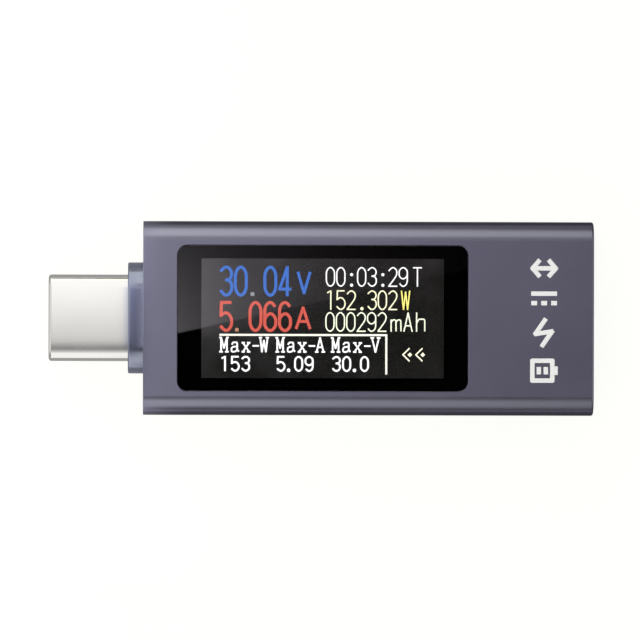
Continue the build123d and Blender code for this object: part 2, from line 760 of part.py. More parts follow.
with BuildPart() as plug_ground_strips:
    for z in (ground_strip_low_z, axis_z + plug_slot_height / 2):
        with BuildSketch(Plane.XY.offset(z)):
            with Locations((plug_lining_x + ground_strip_length / 2, 0)):
                Rectangle(ground_strip_length - 2 * contact_gap, ground_strip_width - 2 * contact_gap)
    extrude(amount=ground_strip_thick)
finish(plug_ground_strips, "plug_ground_strips")

# ------------------------------------------------------------------ socket
leg_outer_y = socket_width / 2 + socket_notch_gap + socket_leg_length
with BuildPart() as socket_shell:
    with BuildSketch(Plane.YZ.offset(socket_back_x)):
        with Locations((0, axis_z)):
            SlotOverall(socket_width, socket_height)
    extrude(amount=socket_length)
    # four solder legs that rest on the board beside its notch
    with BuildSketch(Plane.XY.offset(board_top_z)):
        for x in (socket_back_x + socket_leg_front, socket_mouth_x - socket_leg_rear):
            with Locations((x, 0)):
                Rectangle(socket_leg_width, 2 * leg_outer_y)
    extrude(amount=socket_leg_thick)
    with BuildSketch(Plane.YZ.offset(socket_back_x)):
        with Locations((0, axis_z)):
            SlotOverall(socket_inner_width, socket_inner_height)
    extrude(amount=socket_length, mode=Mode.SUBTRACT)
    chamfer(socket_shell.faces().sort_by(Axis.X)[-1].inner_wires()[0].edges(), socket_lead_in)
finish(socket_shell, "socket_shell")

plate_back_x = socket_back_x + mid_plate_margin
plate_front_x = tongue_tip_x - mid_plate_margin
contact_root = tongue_thick / 2 - socket_contact_thick
contact_front_x = tongue_tip_x - socket_contact_setback
ramp_start_x = socket_floor_x - socket_contact_thick
with BuildPart() as socket_insulator:
    with BuildSketch(Plane.YZ.offset(socket_back_x)):
        with Locations((0, axis_z)):
            SlotOverall(socket_inner_width - 2 * lining_gap, socket_inner_height - 2 * lining_gap)
    extrude(amount=socket_floor_x - socket_back_x)
    with BuildSketch(Plane.YZ.offset(socket_floor_x)):
        with Locations((0, axis_z)):
            Rectangle(tongue_width, tongue_thick)
    extrude(amount=tongue_tip_x - socket_floor_x)
    chamfer(socket_insulator.faces().sort_by(Axis.X)[-1].edges(), tongue_bevel)
    # room for the mid plate
    with BuildSketch(Plane.XY.offset(axis_z - mid_plate_thick / 2)):
        with Locations(((plate_back_x + plate_front_x) / 2, 0)):
            Rectangle(plate_front_x - plate_back_x, tongue_width)
    extrude(amount=mid_plate_thick, mode=Mode.SUBTRACT)
    # channels for the contacts, along the tongue's faces and out through the back
    with BuildSketch(Plane.YZ.offset(ramp_start_x)):
        with Locations(*[(y, axis_z) for y in contact_rows]):
            Rectangle(socket_contact_width, tongue_thick)
        with Locations((0, axis_z)):
            Rectangle(tongue_width, 2 * contact_root, mode=Mode.SUBTRACT)
    extrude(amount=contact_front_x - ramp_start_x, mode=Mode.SUBTRACT)
    with BuildSketch(Plane.YZ.offset(socket_back_x)):
        with Locations(*[(y, axis_z) for y in contact_rows]):
            Rectangle(socket_contact_width, board_thick + 2 * socket_contact_thick)
        with Locations((0, axis_z)):
            Rectangle(tongue_width, 2 * contact_root, mode=Mode.SUBTRACT)
    extrude(amount=socket_floor_x - socket_back_x, mode=Mode.SUBTRACT)
finish(socket_insulator, "socket_insulator")

with BuildPart() as socket_mid_plate:
    with BuildSketch(Plane.XY.offset(axis_z - mid_plate_thick / 2)):
        with Locations(((plate_back_x + plate_front_x) / 2, 0)):
            Rectangle(plate_front_x - plate_back_x, tongue_width)
        # notches that the plug's latches click into
        with Locations(*[(tongue_tip_x - latch_notch_x, side * tongue_width / 2) for side in (-1, 1)]):
            Rectangle(latch_notch_length, 2 * latch_notch_depth, mode=Mode.SUBTRACT)
    extrude(amount=mid_plate_thick)
finish(socket_mid_plate, "socket_mid_plate")

socket_tail_x = notch_front_x - socket_tail_length
for row_name, side in (("upper", 1), ("lower", -1)):
    face_z = axis_z + side * tongue_thick / 2
    root_z = axis_z + side * contact_root
    foot_z = axis_z + side * board_thick / 2
    outer_z = foot_z + side * socket_contact_thick
    socket_contact_outline = [
        (contact_front_x, face_z),
        (socket_floor_x, face_z),
        (socket_floor_x - socket_contact_ramp, outer_z),
        (socket_tail_x, outer_z),
        (socket_tail_x, foot_z),
        (ramp_start_x - socket_contact_ramp, foot_z),
        (ramp_start_x, root_z),
        (contact_front_x, root_z),
    ]
    contact_row(socket_contact_outline, socket_contact_width, f"socket_contacts_{row_name}")

shield_inner_width = tongue_width + 2 * shield_gap
shield_inner_height = tongue_thick + 2 * shield_gap
with BuildPart() as socket_shield:
    with BuildSketch(Plane.YZ.offset(socket_floor_x)):
        with Locations((0, axis_z)):
            Rectangle(shield_inner_width + 2 * shield_thick, shield_inner_height + 2 * shield_thick)
            Rectangle(shield_inner_width, shield_inner_height, mode=Mode.SUBTRACT)
    extrude(amount=shield_length)
finish(socket_shield, "socket_shield")

# ------------------------------------------------------------------ side switch
stem_foot_width = stem_width + 2 * stem_foot_rim
chamber_front_y = stem_back_y - stem_foot - stem_gap
chamber_back_y = chamber_front_y + chamber_depth
with BuildPart() as switch_base:
    with BuildSketch(Plane.XZ.offset(-switch_front_y)):
        with Locations((switch_x, axis_z)):
            Rectangle(switch_length, switch_height)
    extrude(amount=-switch_depth)
    with BuildSketch(Plane.XZ.offset(-switch_front_y)):
        with Locations((switch_x, axis_z)):
            Rectangle(stem_width + 2 * stem_gap, stem_height + 2 * stem_gap)
    extrude(amount=-(chamber_front_y - switch_front_y), mode=Mode.SUBTRACT)
    with BuildSketch(Plane.XZ.offset(-chamber_front_y)):
        with Locations((switch_x, axis_z)):
            Rectangle(stem_foot_width + 2 * chamber_side_gap, dome_width + 2 * chamber_side_gap)
    extrude(amount=-chamber_depth, mode=Mode.SUBTRACT)
finish(switch_base, "switch_base")

cover_top_z = axis_z + switch_height / 2 + cover_thick
cover_leg_x = (switch_length + cover_thick) / 2  # from the middle of the switch
with BuildPart() as switch_cover:
    with BuildSketch(Plane.XZ.offset(-switch_front_y)):
        with Locations((switch_x, cover_top_z - cover_thick / 2)):
            Rectangle(switch_length + 2 * cover_thick, cover_thick)
        for side in (-1, 1):
            with Locations((switch_x + side * cover_leg_x, (cover_top_z + board_top_z) / 2)):
                Rectangle(cover_thick, cover_top_z - board_top_z)
            with Locations((switch_x + side * (cover_leg_x + cover_foot / 2), board_top_z + cover_thick / 2)):
                Rectangle(cover_foot, cover_thick)
    extrude(amount=-switch_depth)
finish(switch_cover, "switch_cover")

dome_apex_y = stem_back_y + dome_gap
dome_foot_y = chamber_back_y - dome_gap
dome_half = dome_span / 2
with BuildPart() as switch_dome:
    with BuildSketch(Plane.XY.offset(axis_z - dome_width / 2)):
        with BuildLine():
            outer = ThreePointArc(
                (switch_x - dome_half, dome_foot_y), (switch_x, dome_apex_y), (switch_x + dome_half, dome_foot_y)
            )
            inner = ThreePointArc(
                (switch_x + dome_half - dome_thick, dome_foot_y),
                (switch_x, dome_apex_y + dome_thick),
                (switch_x - dome_half + dome_thick, dome_foot_y),
            )
            Line(outer @ 1, inner @ 0)
            Line(inner @ 1, outer @ 0)
        make_face()
    extrude(amount=dome_width)
finish(switch_dome, "switch_dome")

with BuildPart() as switch_stem:
    with BuildSketch(Plane.XZ.offset(-flange_back_y)):
        with Locations((switch_x, axis_z)):
            Rectangle(stem_width, stem_height)
    extrude(amount=-stem_reach)
    with BuildSketch(Plane.XZ.offset(-stem_back_y)):
        with Locations((switch_x, axis_z)):
            Rectangle(stem_foot_width, stem_height)
    extrude(amount=stem_foot)
finish(switch_stem, "switch_stem")

with BuildPart() as button_cap:
    with BuildSketch(Plane.XZ.offset(case_width / 2 - button_recess)):
        with Locations((switch_x, axis_z)):
            SlotOverall(button_length, button_height)
    extrude(amount=-(side_wall - button_recess + flange_gap))
    fillet(button_cap.faces().sort_by(Axis.Y)[0].edges(), button_round)
    with BuildSketch(Plane.XZ.offset(-flange_front_y)):
        with Locations((switch_x, axis_z)):
            SlotOverall(flange_length, flange_height)
    extrude(amount=-flange_thick)
finish(button_cap, "button_cap")

print("meter", round(total_length, 2), "x", case_width, "x", case_height, "mm; button travel", button_travel, "mm")
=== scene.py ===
"""Looks for an in-line USB-C power meter: finishes for its pieces, what its screen shows, and a small studio.

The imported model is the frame. Every length is in metres in that frame: +X from the plug to the socket,
+Y to the top of the readout, +Z out of the screen, with the meter's back on the floor at Z = 0.
"""

import math

import bmesh
import bpy
from bpy.props import FloatProperty, FloatVectorProperty, PointerProperty
from bpy.types import Operator, Panel, PropertyGroup
from mathutils import Matrix, Vector


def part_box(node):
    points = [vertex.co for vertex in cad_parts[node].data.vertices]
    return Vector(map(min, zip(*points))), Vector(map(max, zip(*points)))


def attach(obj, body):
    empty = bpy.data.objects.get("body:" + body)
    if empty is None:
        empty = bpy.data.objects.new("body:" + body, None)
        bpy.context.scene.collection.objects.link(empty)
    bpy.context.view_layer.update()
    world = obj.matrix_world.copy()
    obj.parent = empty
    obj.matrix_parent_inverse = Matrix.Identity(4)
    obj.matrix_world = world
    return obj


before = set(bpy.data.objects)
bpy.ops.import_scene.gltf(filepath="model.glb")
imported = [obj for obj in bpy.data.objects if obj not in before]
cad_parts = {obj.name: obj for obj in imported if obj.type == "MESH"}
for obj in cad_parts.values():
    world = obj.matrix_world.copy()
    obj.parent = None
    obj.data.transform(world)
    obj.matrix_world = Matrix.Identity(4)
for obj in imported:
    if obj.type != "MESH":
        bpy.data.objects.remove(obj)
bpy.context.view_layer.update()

bl_info = {
    "name": "USB power meter",
    "version": (1, 0, 0),
    "blender": (4, 5, 0),
    "location": "View3D > Sidebar > Meter",
    "description": "Finishes a CAD power meter and adds its readout, its printed signs and a studio",
    "category": "Object",
}

MM = 0.001
BODY = "meter"

# ------------------------------------------------------------------ places taken from the frame
CASE_LOW, CASE_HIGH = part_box("case_tube")
COLLAR_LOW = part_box("front_cap")[0]
PLUG_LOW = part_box("plug_shell")[0]
DISPLAY_LOW, DISPLAY_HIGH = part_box("display_polariser")
MIDDLE_HEIGHT = (CASE_LOW.z + CASE_HIGH.z) / 2
DISPLAY_MIDDLE = (DISPLAY_LOW + DISPLAY_HIGH) / 2
READOUT_MIDDLE = DISPLAY_MIDDLE + Vector((0.04 * MM, 0.03 * MM, 0.0))
CAMERA_AIM = Vector((-0.02 * MM, -0.19 * MM, MIDDLE_HEIGHT))

# Where most of a noise's values lie, for a harder and a softer pattern.
HARD_NOISE = (0.35, 0.65)
SOFT_NOISE = (0.3, 0.7)


# ------------------------------------------------------------------ what a user would change
def colour_property(name, description, default):
    """A colour, as linear light."""
    return FloatVectorProperty(
        name=name, description=description, default=default, subtype="COLOR", size=3, min=0.0, max=1.0
    )


def size_property(name, description, millimetres):
    """A length whose default is given in millimetres."""
    return FloatProperty(
        name=name, description=description, default=millimetres * MM, min=0.001 * MM,
        unit="LENGTH", precision=5,
    )


def card_property(name, description):
    """The brightness of a card, as a multiple of what suits the meter."""
    return FloatProperty(
        name=name, description=description, default=1.0, min=0.0, soft_max=4.0, subtype="FACTOR"
    )


class MeterFinish(PropertyGroup):
    """Colours of the finishes and of the readout, as linear light."""

    case_tint: colour_property("Case", "Anodised aluminium of the case", (0.265, 0.258, 0.355))
    collar_tint: colour_property("Collar", "Turned aluminium round the plug", (0.30, 0.32, 0.42))
    plug_tint: colour_property("Plug", "Nickel plate of the plug and the socket", (0.78, 0.77, 0.757))
    volts_tint: colour_property("Volts", "The voltage figures", (0.062, 0.19, 0.66))
    amps_tint: colour_property("Amps", "The current figures", (0.78, 0.13, 0.095))
    white_tint: colour_property("White", "The time and the stored maxima", (1.0, 0.97, 0.96))
    cream_tint: colour_property("Cream", "The power figures, the rules and the arrows", (1.0, 0.92, 0.62))
    green_tint: colour_property("Green", "The charge figures", (0.90, 1.0, 0.72))
    yellow_tint: colour_property("Yellow", "The sign after the power figures", (1.0, 0.85, 0.22))
    print_tint: colour_property("Print", "The printed signs near the socket", (0.99, 0.98, 1.0))


class MeterSizes(PropertyGroup):
    """Sizes of the readout and of the printed signs."""

    big_height: size_property("Large figures", "Height of the voltage and current figures", 2.95)
    big_width: size_property("Large width", "Width of a large figure", 1.33)
    big_pitch: size_property("Large pitch", "From one large figure to the next", 1.40)
    big_stroke: size_property("Large stroke", "Width of the line that draws a large figure", 0.29)
    small_height: size_property("Small figures", "Height of the time, power and charge figures", 1.88)
    small_width: size_property("Small width", "Width of a small figure", 0.90)
    small_pitch: size_property("Small pitch", "From one small figure to the next", 0.987)
    small_stroke: size_property("Small stroke", "Width of the line that draws a small figure", 0.125)
    store_height: size_property("Stored maxima", "Height of the stored maxima and of their labels", 1.50)
    store_stroke: size_property("Stored stroke", "Width of the line that draws the stored maxima", 0.17)
    light_depth: size_property("Readout depth", "How far the readout stands off the display's film", 0.02)
    print_depth: size_property("Print depth", "Thickness of the printed signs", 0.012)
    print_stroke: size_property("Print stroke", "Width of the line that draws a printed sign", 0.42)


class MeterStudio(PropertyGroup):
    """The camera and the lights."""

    camera_distance: FloatProperty(
        name="Camera", description="From the camera to the middle of the meter",
        default=0.6, min=0.1, unit="LENGTH",
    )
    camera_roll: FloatProperty(
        name="Camera roll", description="How far the camera is turned about its own axis",
        default=math.radians(0.15), subtype="ANGLE",
    )
    camera_yaw: FloatProperty(
        name="Camera yaw", description="How far the camera looks in from the plug's side",
        default=math.radians(1.35), subtype="ANGLE",
    )
    field_width: FloatProperty(
        name="Field", description="Width of what the camera sees at the middle of the meter",
        default=61.04 * MM, min=10 * MM, unit="LENGTH",
    )
    overhead: card_property("Overhead", "Brightness of the cards above the meter and the plug")
    far_side: card_property("Far side", "Brightness of the long card on +Y and of the cards at the ends")
    near_side: card_property("Near side", "Brightness of the long card on -Y and of the plug's bounce card")


# ------------------------------------------------------------------ materials
def feed(material, socket, value):
    """Links a socket to another one, or sets it to a plain value. A colour may have three numbers."""
    if isinstance(value, bpy.types.NodeSocket):
        material.node_tree.links.new(value, socket)
    elif socket.type == "RGBA" and len(value) == 3:
        socket.default_value = (*value, 1.0)
    else:
        socket.default_value = value


def add_node(material, kind, inputs=None, **settings):
    """A new node. An input is a plain value, or the socket that feeds it."""
    made = material.node_tree.nodes.new("ShaderNode" + kind)
    for name, value in settings.items():
        setattr(made, name, value)
    for name, value in (inputs or {}).items():
        feed(material, made.inputs[name], value)
    return made


def arithmetic(material, operation, *values):
    """The result of one sum on numbers or sockets."""
    made = add_node(material, "Math", operation=operation)
    for socket, value in zip(made.inputs, values):
        feed(material, socket, value)
    return made.outputs[0]


def times(material, first, second):
    """The product of two numbers or sockets."""
    return arithmetic(material, "MULTIPLY", first, second)


def mix_colours(material, factor, first, second):
    """The first colour where the factor is 0, the second where it is 1."""
    made = add_node(material, "Mix", data_type="RGBA")
    for number, value in ((0, factor), (6, first), (7, second)):
        feed(material, made.inputs[number], value)
    return made.outputs[2]


def mix_numbers(material, factor, first, second):
    """The first number where the factor is 0, the second where it is 1."""
    made = add_node(material, "Mix", data_type="FLOAT")
    for number, value in ((0, factor), (2, first), (3, second)):
        feed(material, made.inputs[number], value)
    return made.outputs[0]


def ramp(material, value, start, end, low, high, soft=False):
    """A number that goes from low to high while the value goes from start to end."""
    interpolation = "SMOOTHSTEP" if soft else "LINEAR"
    made = add_node(material, "MapRange", {"Value": value}, interpolation_type=interpolation)
    limits = {"From Min": start, "From Max": end, "To Min": low, "To Max": high}
    for name, limit in limits.items():
        feed(material, made.inputs[name], limit)
    return made.outputs["Result"]


def position(material):
    """The place on the piece, as its three numbers."""
    place = add_node(material, "TexCoord").outputs["Object"]
    return tuple(add_node(material, "SeparateXYZ", {"Vector": place}).outputs)


def grain(material, size, detail=2.0, stretch=(1.0, 1.0, 1.0)):
    """Noise whose spots are about size across, drawn out along an axis by a stretch above 1."""
    place = add_node(material, "TexCoord").outputs["Object"]
    scale = tuple(1.0 / s for s in stretch)
    mapped = add_node(material, "Mapping", {"Vector": place, "Scale": scale}).outputs["Vector"]
    inputs = {"Vector": mapped, "Scale": 1.0 / size, "Detail": detail}
    return add_node(material, "TexNoise", inputs).outputs["Fac"]


def roughen(material, height, depth, strength=1.0):
    """A bumped normal from a height that goes from 0 to 1."""
    inputs = {"Height": height, "Distance": depth, "Strength": strength}
    return add_node(material, "Bump", inputs).outputs["Normal"]


def start_material(name, **values):
    """A new material and its shader's sockets, some of them set by name."""
    material = bpy.data.materials.new(name)
    material.use_nodes = True
    shader = material.node_tree.nodes["Principled BSDF"]
    for socket, value in values.items():
        feed(material, shader.inputs[socket.replace("_", " ")], value)
    return material, shader.inputs


def shades(tint, spread):
    """A darker and a lighter shade of a tint."""
    return tuple(c * (1 - spread) for c in tint), tuple(min(c * (1 + spread), 1.0) for c in tint)


def textured(name, tint, roughness, size, depth, spread=0.06, cloud=4 * MM, stretch=(1, 1, 1), **values):
    """A material with fine grain in its height, and clouds in its colour and roughness."""
    material, sockets = start_material(name, **values)
    fine = grain(material, size, 3.0, stretch)
    clouds = grain(material, cloud, 2.0)
    patchy = arithmetic(material, "MULTIPLY_ADD", fine, 0.5, times(material, clouds, 0.5))
    shade = ramp(material, patchy, *HARD_NOISE, 0.0, 1.0)
    feed(material, sockets["Base Color"], mix_colours(material, shade, *shades(tint, spread)))
    feed(material, sockets["Roughness"], ramp(material, patchy, *HARD_NOISE, *roughness))
    feed(material, sockets["Normal"], roughen(material, fine, depth))
    return material


def blasted_aluminium(name, tint):
    """Bead-blasted and anodised aluminium: fine even grain, faint clouds."""
    return textured(
        name, tint, roughness=(0.29, 0.33), size=0.09 * MM, depth=0.0006 * MM, spread=0.025,
        cloud=6 * MM, Metallic=1.0,
    )


def turned_aluminium(name, tint, collar_tint, collar_end):
    """Blasted aluminium whose collar is turned: fine rings round it, glossier, and bluer."""
    material, sockets = start_material(name, Metallic=1.0)
    along = position(material)[0]
    collar = arithmetic(material, "LESS_THAN", along, collar_end)
    fine = grain(material, 0.09 * MM, 3.0)
    ring_width = 0.11 * MM
    inputs = {"W": along, "Scale": 1.0 / ring_width, "Detail": 2.0}
    rings = add_node(material, "TexNoise", inputs, noise_dimensions="1D").outputs["Fac"]
    blasted = mix_colours(material, ramp(material, fine, *HARD_NOISE, 0.0, 1.0), *shades(tint, 0.025))
    turned = mix_colours(material, ramp(material, rings, *HARD_NOISE, 0.0, 1.0), *shades(collar_tint, 0.10))
    feed(material, sockets["Base Color"], mix_colours(material, collar, blasted, turned))
    ringed = ramp(material, rings, *SOFT_NOISE, 0.19, 0.27)
    feed(material, sockets["Roughness"], mix_numbers(material, collar, 0.31, ringed))
    height = mix_numbers(material, collar, fine, rings)
    feed(material, sockets["Normal"], roughen(material, height, 0.0006 * MM))
    return material


def drawn_nickel(name, tint):
    """Nickel plate on drawn steel: bright, with faint draw lines along the shell."""
    return textured(
        name, tint, roughness=(0.13, 0.165), size=0.03 * MM, depth=0.0002 * MM, spread=0.02,
        cloud=3 * MM, stretch=(60, 1, 1), Metallic=1.0,
    )


def lens_glass(name):
    """Clear cover glass with the faintest smears."""
    material, sockets = start_material(name, Base_Color=(0.98, 0.99, 1.0), Transmission_Weight=1.0, IOR=1.5)
    smears = grain(material, 5 * MM, 3.0, (1.0, 2.5, 1.0))
    feed(material, sockets["Roughness"], ramp(material, smears, 0.5, 0.75, 0.0, 0.01))
    return material


def display_film(name, glow):
    """A smoked film over a lit display: black that isn't quite black, lighter towards the display's edges."""
    material, sockets = start_material(name, Specular_IOR_Level=0.6, IOR=2.1, Emission_Strength=1.0)
    half = (DISPLAY_HIGH - DISPLAY_LOW) / 2
    edges = []
    for place, middle, reach, rim in zip(position(material), DISPLAY_MIDDLE, half, (2.5 * MM, 2.0 * MM)):
        away = arithmetic(material, "ABSOLUTE", arithmetic(material, "SUBTRACT", place, middle))
        edges.append(ramp(material, away, reach - rim, reach, 0.0, 1.0, soft=True))
    edge = arithmetic(material, "MAXIMUM", *edges)
    clouds = grain(material, 3 * MM, 2.0)
    leak = arithmetic(material, "MULTIPLY_ADD", edge, 0.35, ramp(material, clouds, *SOFT_NOISE, 0.0, 0.4))
    feed(material, sockets["Emission Color"], mix_colours(material, leak, *shades(glow, 0.06)))
    film = mix_colours(material, clouds, (0.010, 0.010, 0.011), (0.014, 0.014, 0.015))
    feed(material, sockets["Base Color"], film)
    feed(material, sockets["Roughness"], ramp(material, clouds, *SOFT_NOISE, 0.04, 0.08))
    return material


def lit_figures(name, tint, strength):
    """Lit display cells of one colour, a little uneven from cell to cell."""
    material, sockets = start_material(
        name, Base_Color=(0.02, 0.02, 0.02), Roughness=0.4, Specular_IOR_Level=0.0, Emission_Strength=strength
    )
    cells = ramp(material, grain(material, 0.18 * MM, 1.0), *HARD_NOISE, 0.0, 1.0)
    feed(material, sockets["Emission Color"], mix_colours(material, cells, *shades(tuple(tint), 0.10)))
    return material


def ink_with_painted_glow(name, tint):
    """Screen-printed ink, a little thin in places, with a painted glow that keeps it white in weak light."""
    return textured(
        name, tint, roughness=(0.45, 0.6), size=0.06 * MM, depth=0.0015 * MM, spread=0.04, cloud=1.5 * MM,
        # Painted glow: the ink gives off a little light of its own.
        Emission_Color=(0.97, 0.97, 1.0), Emission_Strength=0.22,
    )


def board_mask(name):
    """Dark green solder mask over copper: the copper shows as a lighter, slightly raised pattern."""
    material, sockets = start_material(name, Coat_Weight=0.3)
    place = add_node(material, "TexCoord").outputs["Object"]
    bricks = {"Vector": place, "Scale": 420.0, "Mortar Size": 0.045, "Mortar Smooth": 0.3, "Bias": 0.0}
    tracks = add_node(material, "TexBrick", bricks, offset=0.37, squash=1.6).outputs["Fac"]
    weave = grain(material, 0.25 * MM, 2.0)
    copper = mix_colours(material, tracks, (0.012, 0.05, 0.028), (0.02, 0.085, 0.045))
    shade = ramp(material, weave, *HARD_NOISE, 0.0, 0.25)
    feed(material, sockets["Base Color"], mix_colours(material, shade, copper, (0.008, 0.03, 0.018)))
    feed(material, sockets["Roughness"], ramp(material, weave, *SOFT_NOISE, 0.22, 0.32))
    feed(material, sockets["Normal"], roughen(material, tracks, 0.03 * MM, 0.4))
    return material


def dress(material, *names):
    """Gives CAD nodes a material in place of the plain one that they were packed with."""
    for name in names:
        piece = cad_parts[name]
        piece.data.materials.clear()
        piece.data.materials.append(material)
        piece["dressed"] = True


def dress_all(*finishes):
    """Dresses nodes in textured finishes. A row has the finish's name, its tint and roughness, the size and
    depth of its grain in millimetres, its other settings, and the nodes."""
    for name, tint, roughness, size, depth, settings, nodes in finishes:
        dress(textured(name, tint, roughness, size * MM, depth * MM, **settings), *nodes)


# ------------------------------------------------------------------ figures and signs as strokes
# A sign is a list of strokes in a box one wide and one high. A "line" runs straight from point to point, a
# "curve" is smooth, a "ring" is a closed curve, and a "dot" has only its middle.
def turned_about(strokes):
    """The same strokes turned half a turn in their box."""
    return [(kind, [(1 - x, 1 - y) for x, y in points]) for kind, points in strokes]


OVAL = [
    (0.32, 1), (0.68, 1), (1, 0.8), (1, 0.5), (1, 0.2), (0.68, 0), (0.32, 0), (0, 0.2), (0, 0.5), (0, 0.8),
]
SIX = [
    ("curve", [(0.93, 0.85), (0.72, 1.0), (0.3, 1.0), (0, 0.82), (0, 0.5), (0, 0.3)]),
    ("ring", [(0.35, 0.6), (0.7, 0.6), (1, 0.44), (1, 0.3), (1, 0.16), (0.68, 0), (0.32, 0), (0, 0.16),
              (0, 0.3), (0, 0.44)]),
]
SIGNS = {
    "0": [("ring", OVAL)],
    "1": [("line", [(0.15, 0.9), (0.55, 1.0)]), ("line", [(0.55, 1.0), (0.55, 0.0)])],
    "2": [
        ("curve", [(0, 0.82), (0.3, 1.0), (0.7, 1.0), (1, 0.84), (1, 0.66), (0.8, 0.46), (0.0, 0.0)]),
        ("line", [(0, 0), (1, 0)]),
    ],
    "3": [
        ("curve", [(0, 0.84), (0.3, 1.0), (0.7, 1.0), (1, 0.86), (1, 0.68), (0.8, 0.54), (0.42, 0.54)]),
        ("curve", [(0.42, 0.54), (0.8, 0.54), (1.02, 0.4), (1.02, 0.16), (0.7, 0.0), (0.3, 0.0), (0, 0.18)]),
    ],
    "4": [("line", [(0.7, 0), (0.7, 1), (0, 0.22), (1, 0.22)])],
    "5": [
        ("line", [(0.92, 1), (0.08, 1), (0.05, 0.52)]),
        ("curve", [(0.05, 0.52), (0.3, 0.64), (0.7, 0.62), (1.02, 0.44), (1.02, 0.18), (0.7, 0.0), (0.3, 0.0),
                   (0, 0.17)]),
    ],
    "6": SIX,
    "9": turned_about(SIX),
    ":": [("dot", [(0.55, 0.62)]), ("dot", [(0.55, 0.05)])],
    ".": [("dot", [(0.55, 0.04)])],
    "point": [("dot", [(0.14, 0.04)])],
    "-": [("line", [(0.05, 0.42), (0.95, 0.42)])],
    "V": [("line", [(0, 1), (0.5, 0), (1, 1)])],
    "A": [("line", [(0, 0), (0.5, 1), (1, 0)]), ("line", [(0.16, 0.33), (0.84, 0.33)])],
    "A small": [
        ("line", [(0, 0), (0.18, 0.34), (0.5, 1), (0.82, 0.34), (1, 0)]), ("line", [(0.2, 0.3), (0.8, 0.3)]),
    ],
    "T": [("line", [(0, 1), (1, 1)]), ("line", [(0.5, 1), (0.5, 0)])],
    "W": [("line", [(0, 1), (0.25, 0), (0.5, 0.95), (0.75, 0), (1, 1)])],
    "m": [
        ("line", [(0, 0), (0, 1)]),
        ("curve", [(0, 0.75), (0.1, 1.0), (0.45, 1.0), (0.5, 0.8), (0.5, 0.0)]),
        ("curve", [(0.5, 0.75), (0.6, 1.0), (0.95, 1.0), (1, 0.8), (1, 0.0)]),
    ],
    "h": [
        ("line", [(0, 0), (0, 1)]),
        ("curve", [(0, 0.42), (0.2, 0.66), (0.6, 0.66), (1, 0.66), (1, 0.4), (1, 0.0)]),
    ],
    "M serif": [
        ("line", [(0.16, 0), (0.16, 1), (0.5, 0.25), (0.84, 1), (0.84, 0)]),
        ("line", [(0, 0), (0.32, 0)]), ("line", [(0.68, 0), (1, 0)]),
        ("line", [(0, 1), (0.2, 1)]), ("line", [(0.8, 1), (1, 1)]),
    ],
    "a serif": [
        ("curve", [(0.1, 0.5), (0.2, 0.66), (0.5, 0.66), (0.78, 0.66), (0.78, 0.4), (0.78, 0.1), (1, 0.02)]),
        ("curve", [(0.78, 0.38), (0.4, 0.36), (0.05, 0.3), (0.05, 0), (0.4, 0), (0.7, 0.05), (0.78, 0.2)]),
    ],
    "x serif": [
        ("line", [(0.1, 0.64), (0.9, 0)]), ("line", [(0.9, 0.64), (0.1, 0)]),
        ("line", [(0, 0), (0.3, 0)]), ("line", [(0.7, 0), (1, 0)]),
        ("line", [(0, 0.64), (0.3, 0.64)]), ("line", [(0.7, 0.64), (1, 0.64)]),
    ],
    "W serif": [
        ("line", [(0.1, 1), (0.28, 0), (0.5, 0.8), (0.72, 0), (0.9, 1)]),
        ("line", [(0, 1), (0.25, 1)]), ("line", [(0.75, 1), (1, 1)]),
    ],
    "A serif": [
        ("line", [(0.12, 0), (0.5, 1), (0.88, 0)]), ("line", [(0.28, 0.33), (0.72, 0.33)]),
        ("line", [(0, 0), (0.28, 0)]), ("line", [(0.72, 0), (1, 0)]),
    ],
    "V serif": [
        ("line", [(0.12, 1), (0.5, 0), (0.88, 1)]),
        ("line", [(0, 1), (0.3, 1)]), ("line", [(0.7, 1), (1, 1)]),
    ],
    "chevron": [("line", [(1, 1), (0, 0.5), (1, 0)])],
    "current_arrow": [
        ("line", [(0.0, 0.5), (1.0, 0.5)]),
        ("line", [(0.28, 0.95), (0.0, 0.5), (0.28, 0.05)]),
        ("line", [(0.72, 0.95), (1.0, 0.5), (0.72, 0.05)]),
    ],
    "direct_current": [
        ("line", [(0.0, 0.85), (1.0, 0.85)]), ("line", [(0.0, 0.15), (0.14, 0.15)]),
        ("line", [(0.43, 0.15), (0.57, 0.15)]), ("line", [(0.86, 0.15), (1.0, 0.15)]),
    ],
    "charge_bolt": [("line", [(0.55, 1.0), (0.12, 0.45), (0.85, 0.55), (0.42, 0.0)])],
    "battery_cell": [
        ("line", [(0.0, 0.0), (0.0, 1.0), (0.86, 1.0), (0.86, 0.0), (0.0, 0.0)]),
        ("line", [(1.0, 0.35), (1.0, 0.65)]),
        ("line", [(0.28, 0.38), (0.28, 0.62)]),
        ("line", [(0.58, 0.38), (0.58, 0.62)]),
    ],
}


def place_strokes(sign, left, base, width, height, stroke=0.0):
    """A sign's strokes in metres. The box from left and base holds their whole width."""
    left, base, width, height = left + stroke / 2, base + stroke / 2, width - stroke, height - stroke
    return [
        (kind, [(left + x * width, base + y * height) for x, y in points]) for kind, points in SIGNS[sign]
    ]


def place_row(text, left, base, width, height, pitch, stroke, narrow=1.0):
    """Strokes of a row of signs. The step after a point may be narrower."""
    strokes = []
    for sign in text:
        strokes += place_strokes(sign, left, base, width, height, stroke)
        left += pitch * (narrow if sign == "point" else 1.0)
    return strokes


def add_spline(curve, points, smooth, closed, lift):
    """One stroke's middle line, at a height."""
    spline = curve.splines.new("NURBS" if smooth else "POLY")
    spline.points.add(len(points) - 1)
    for point, (x, y) in zip(spline.points, points):
        point.co = (x, y, lift, 1.0)
    if smooth:
        spline.order_u = 3
        spline.use_endpoint_u = not closed
        spline.use_cyclic_u = closed
        spline.resolution_u = 5


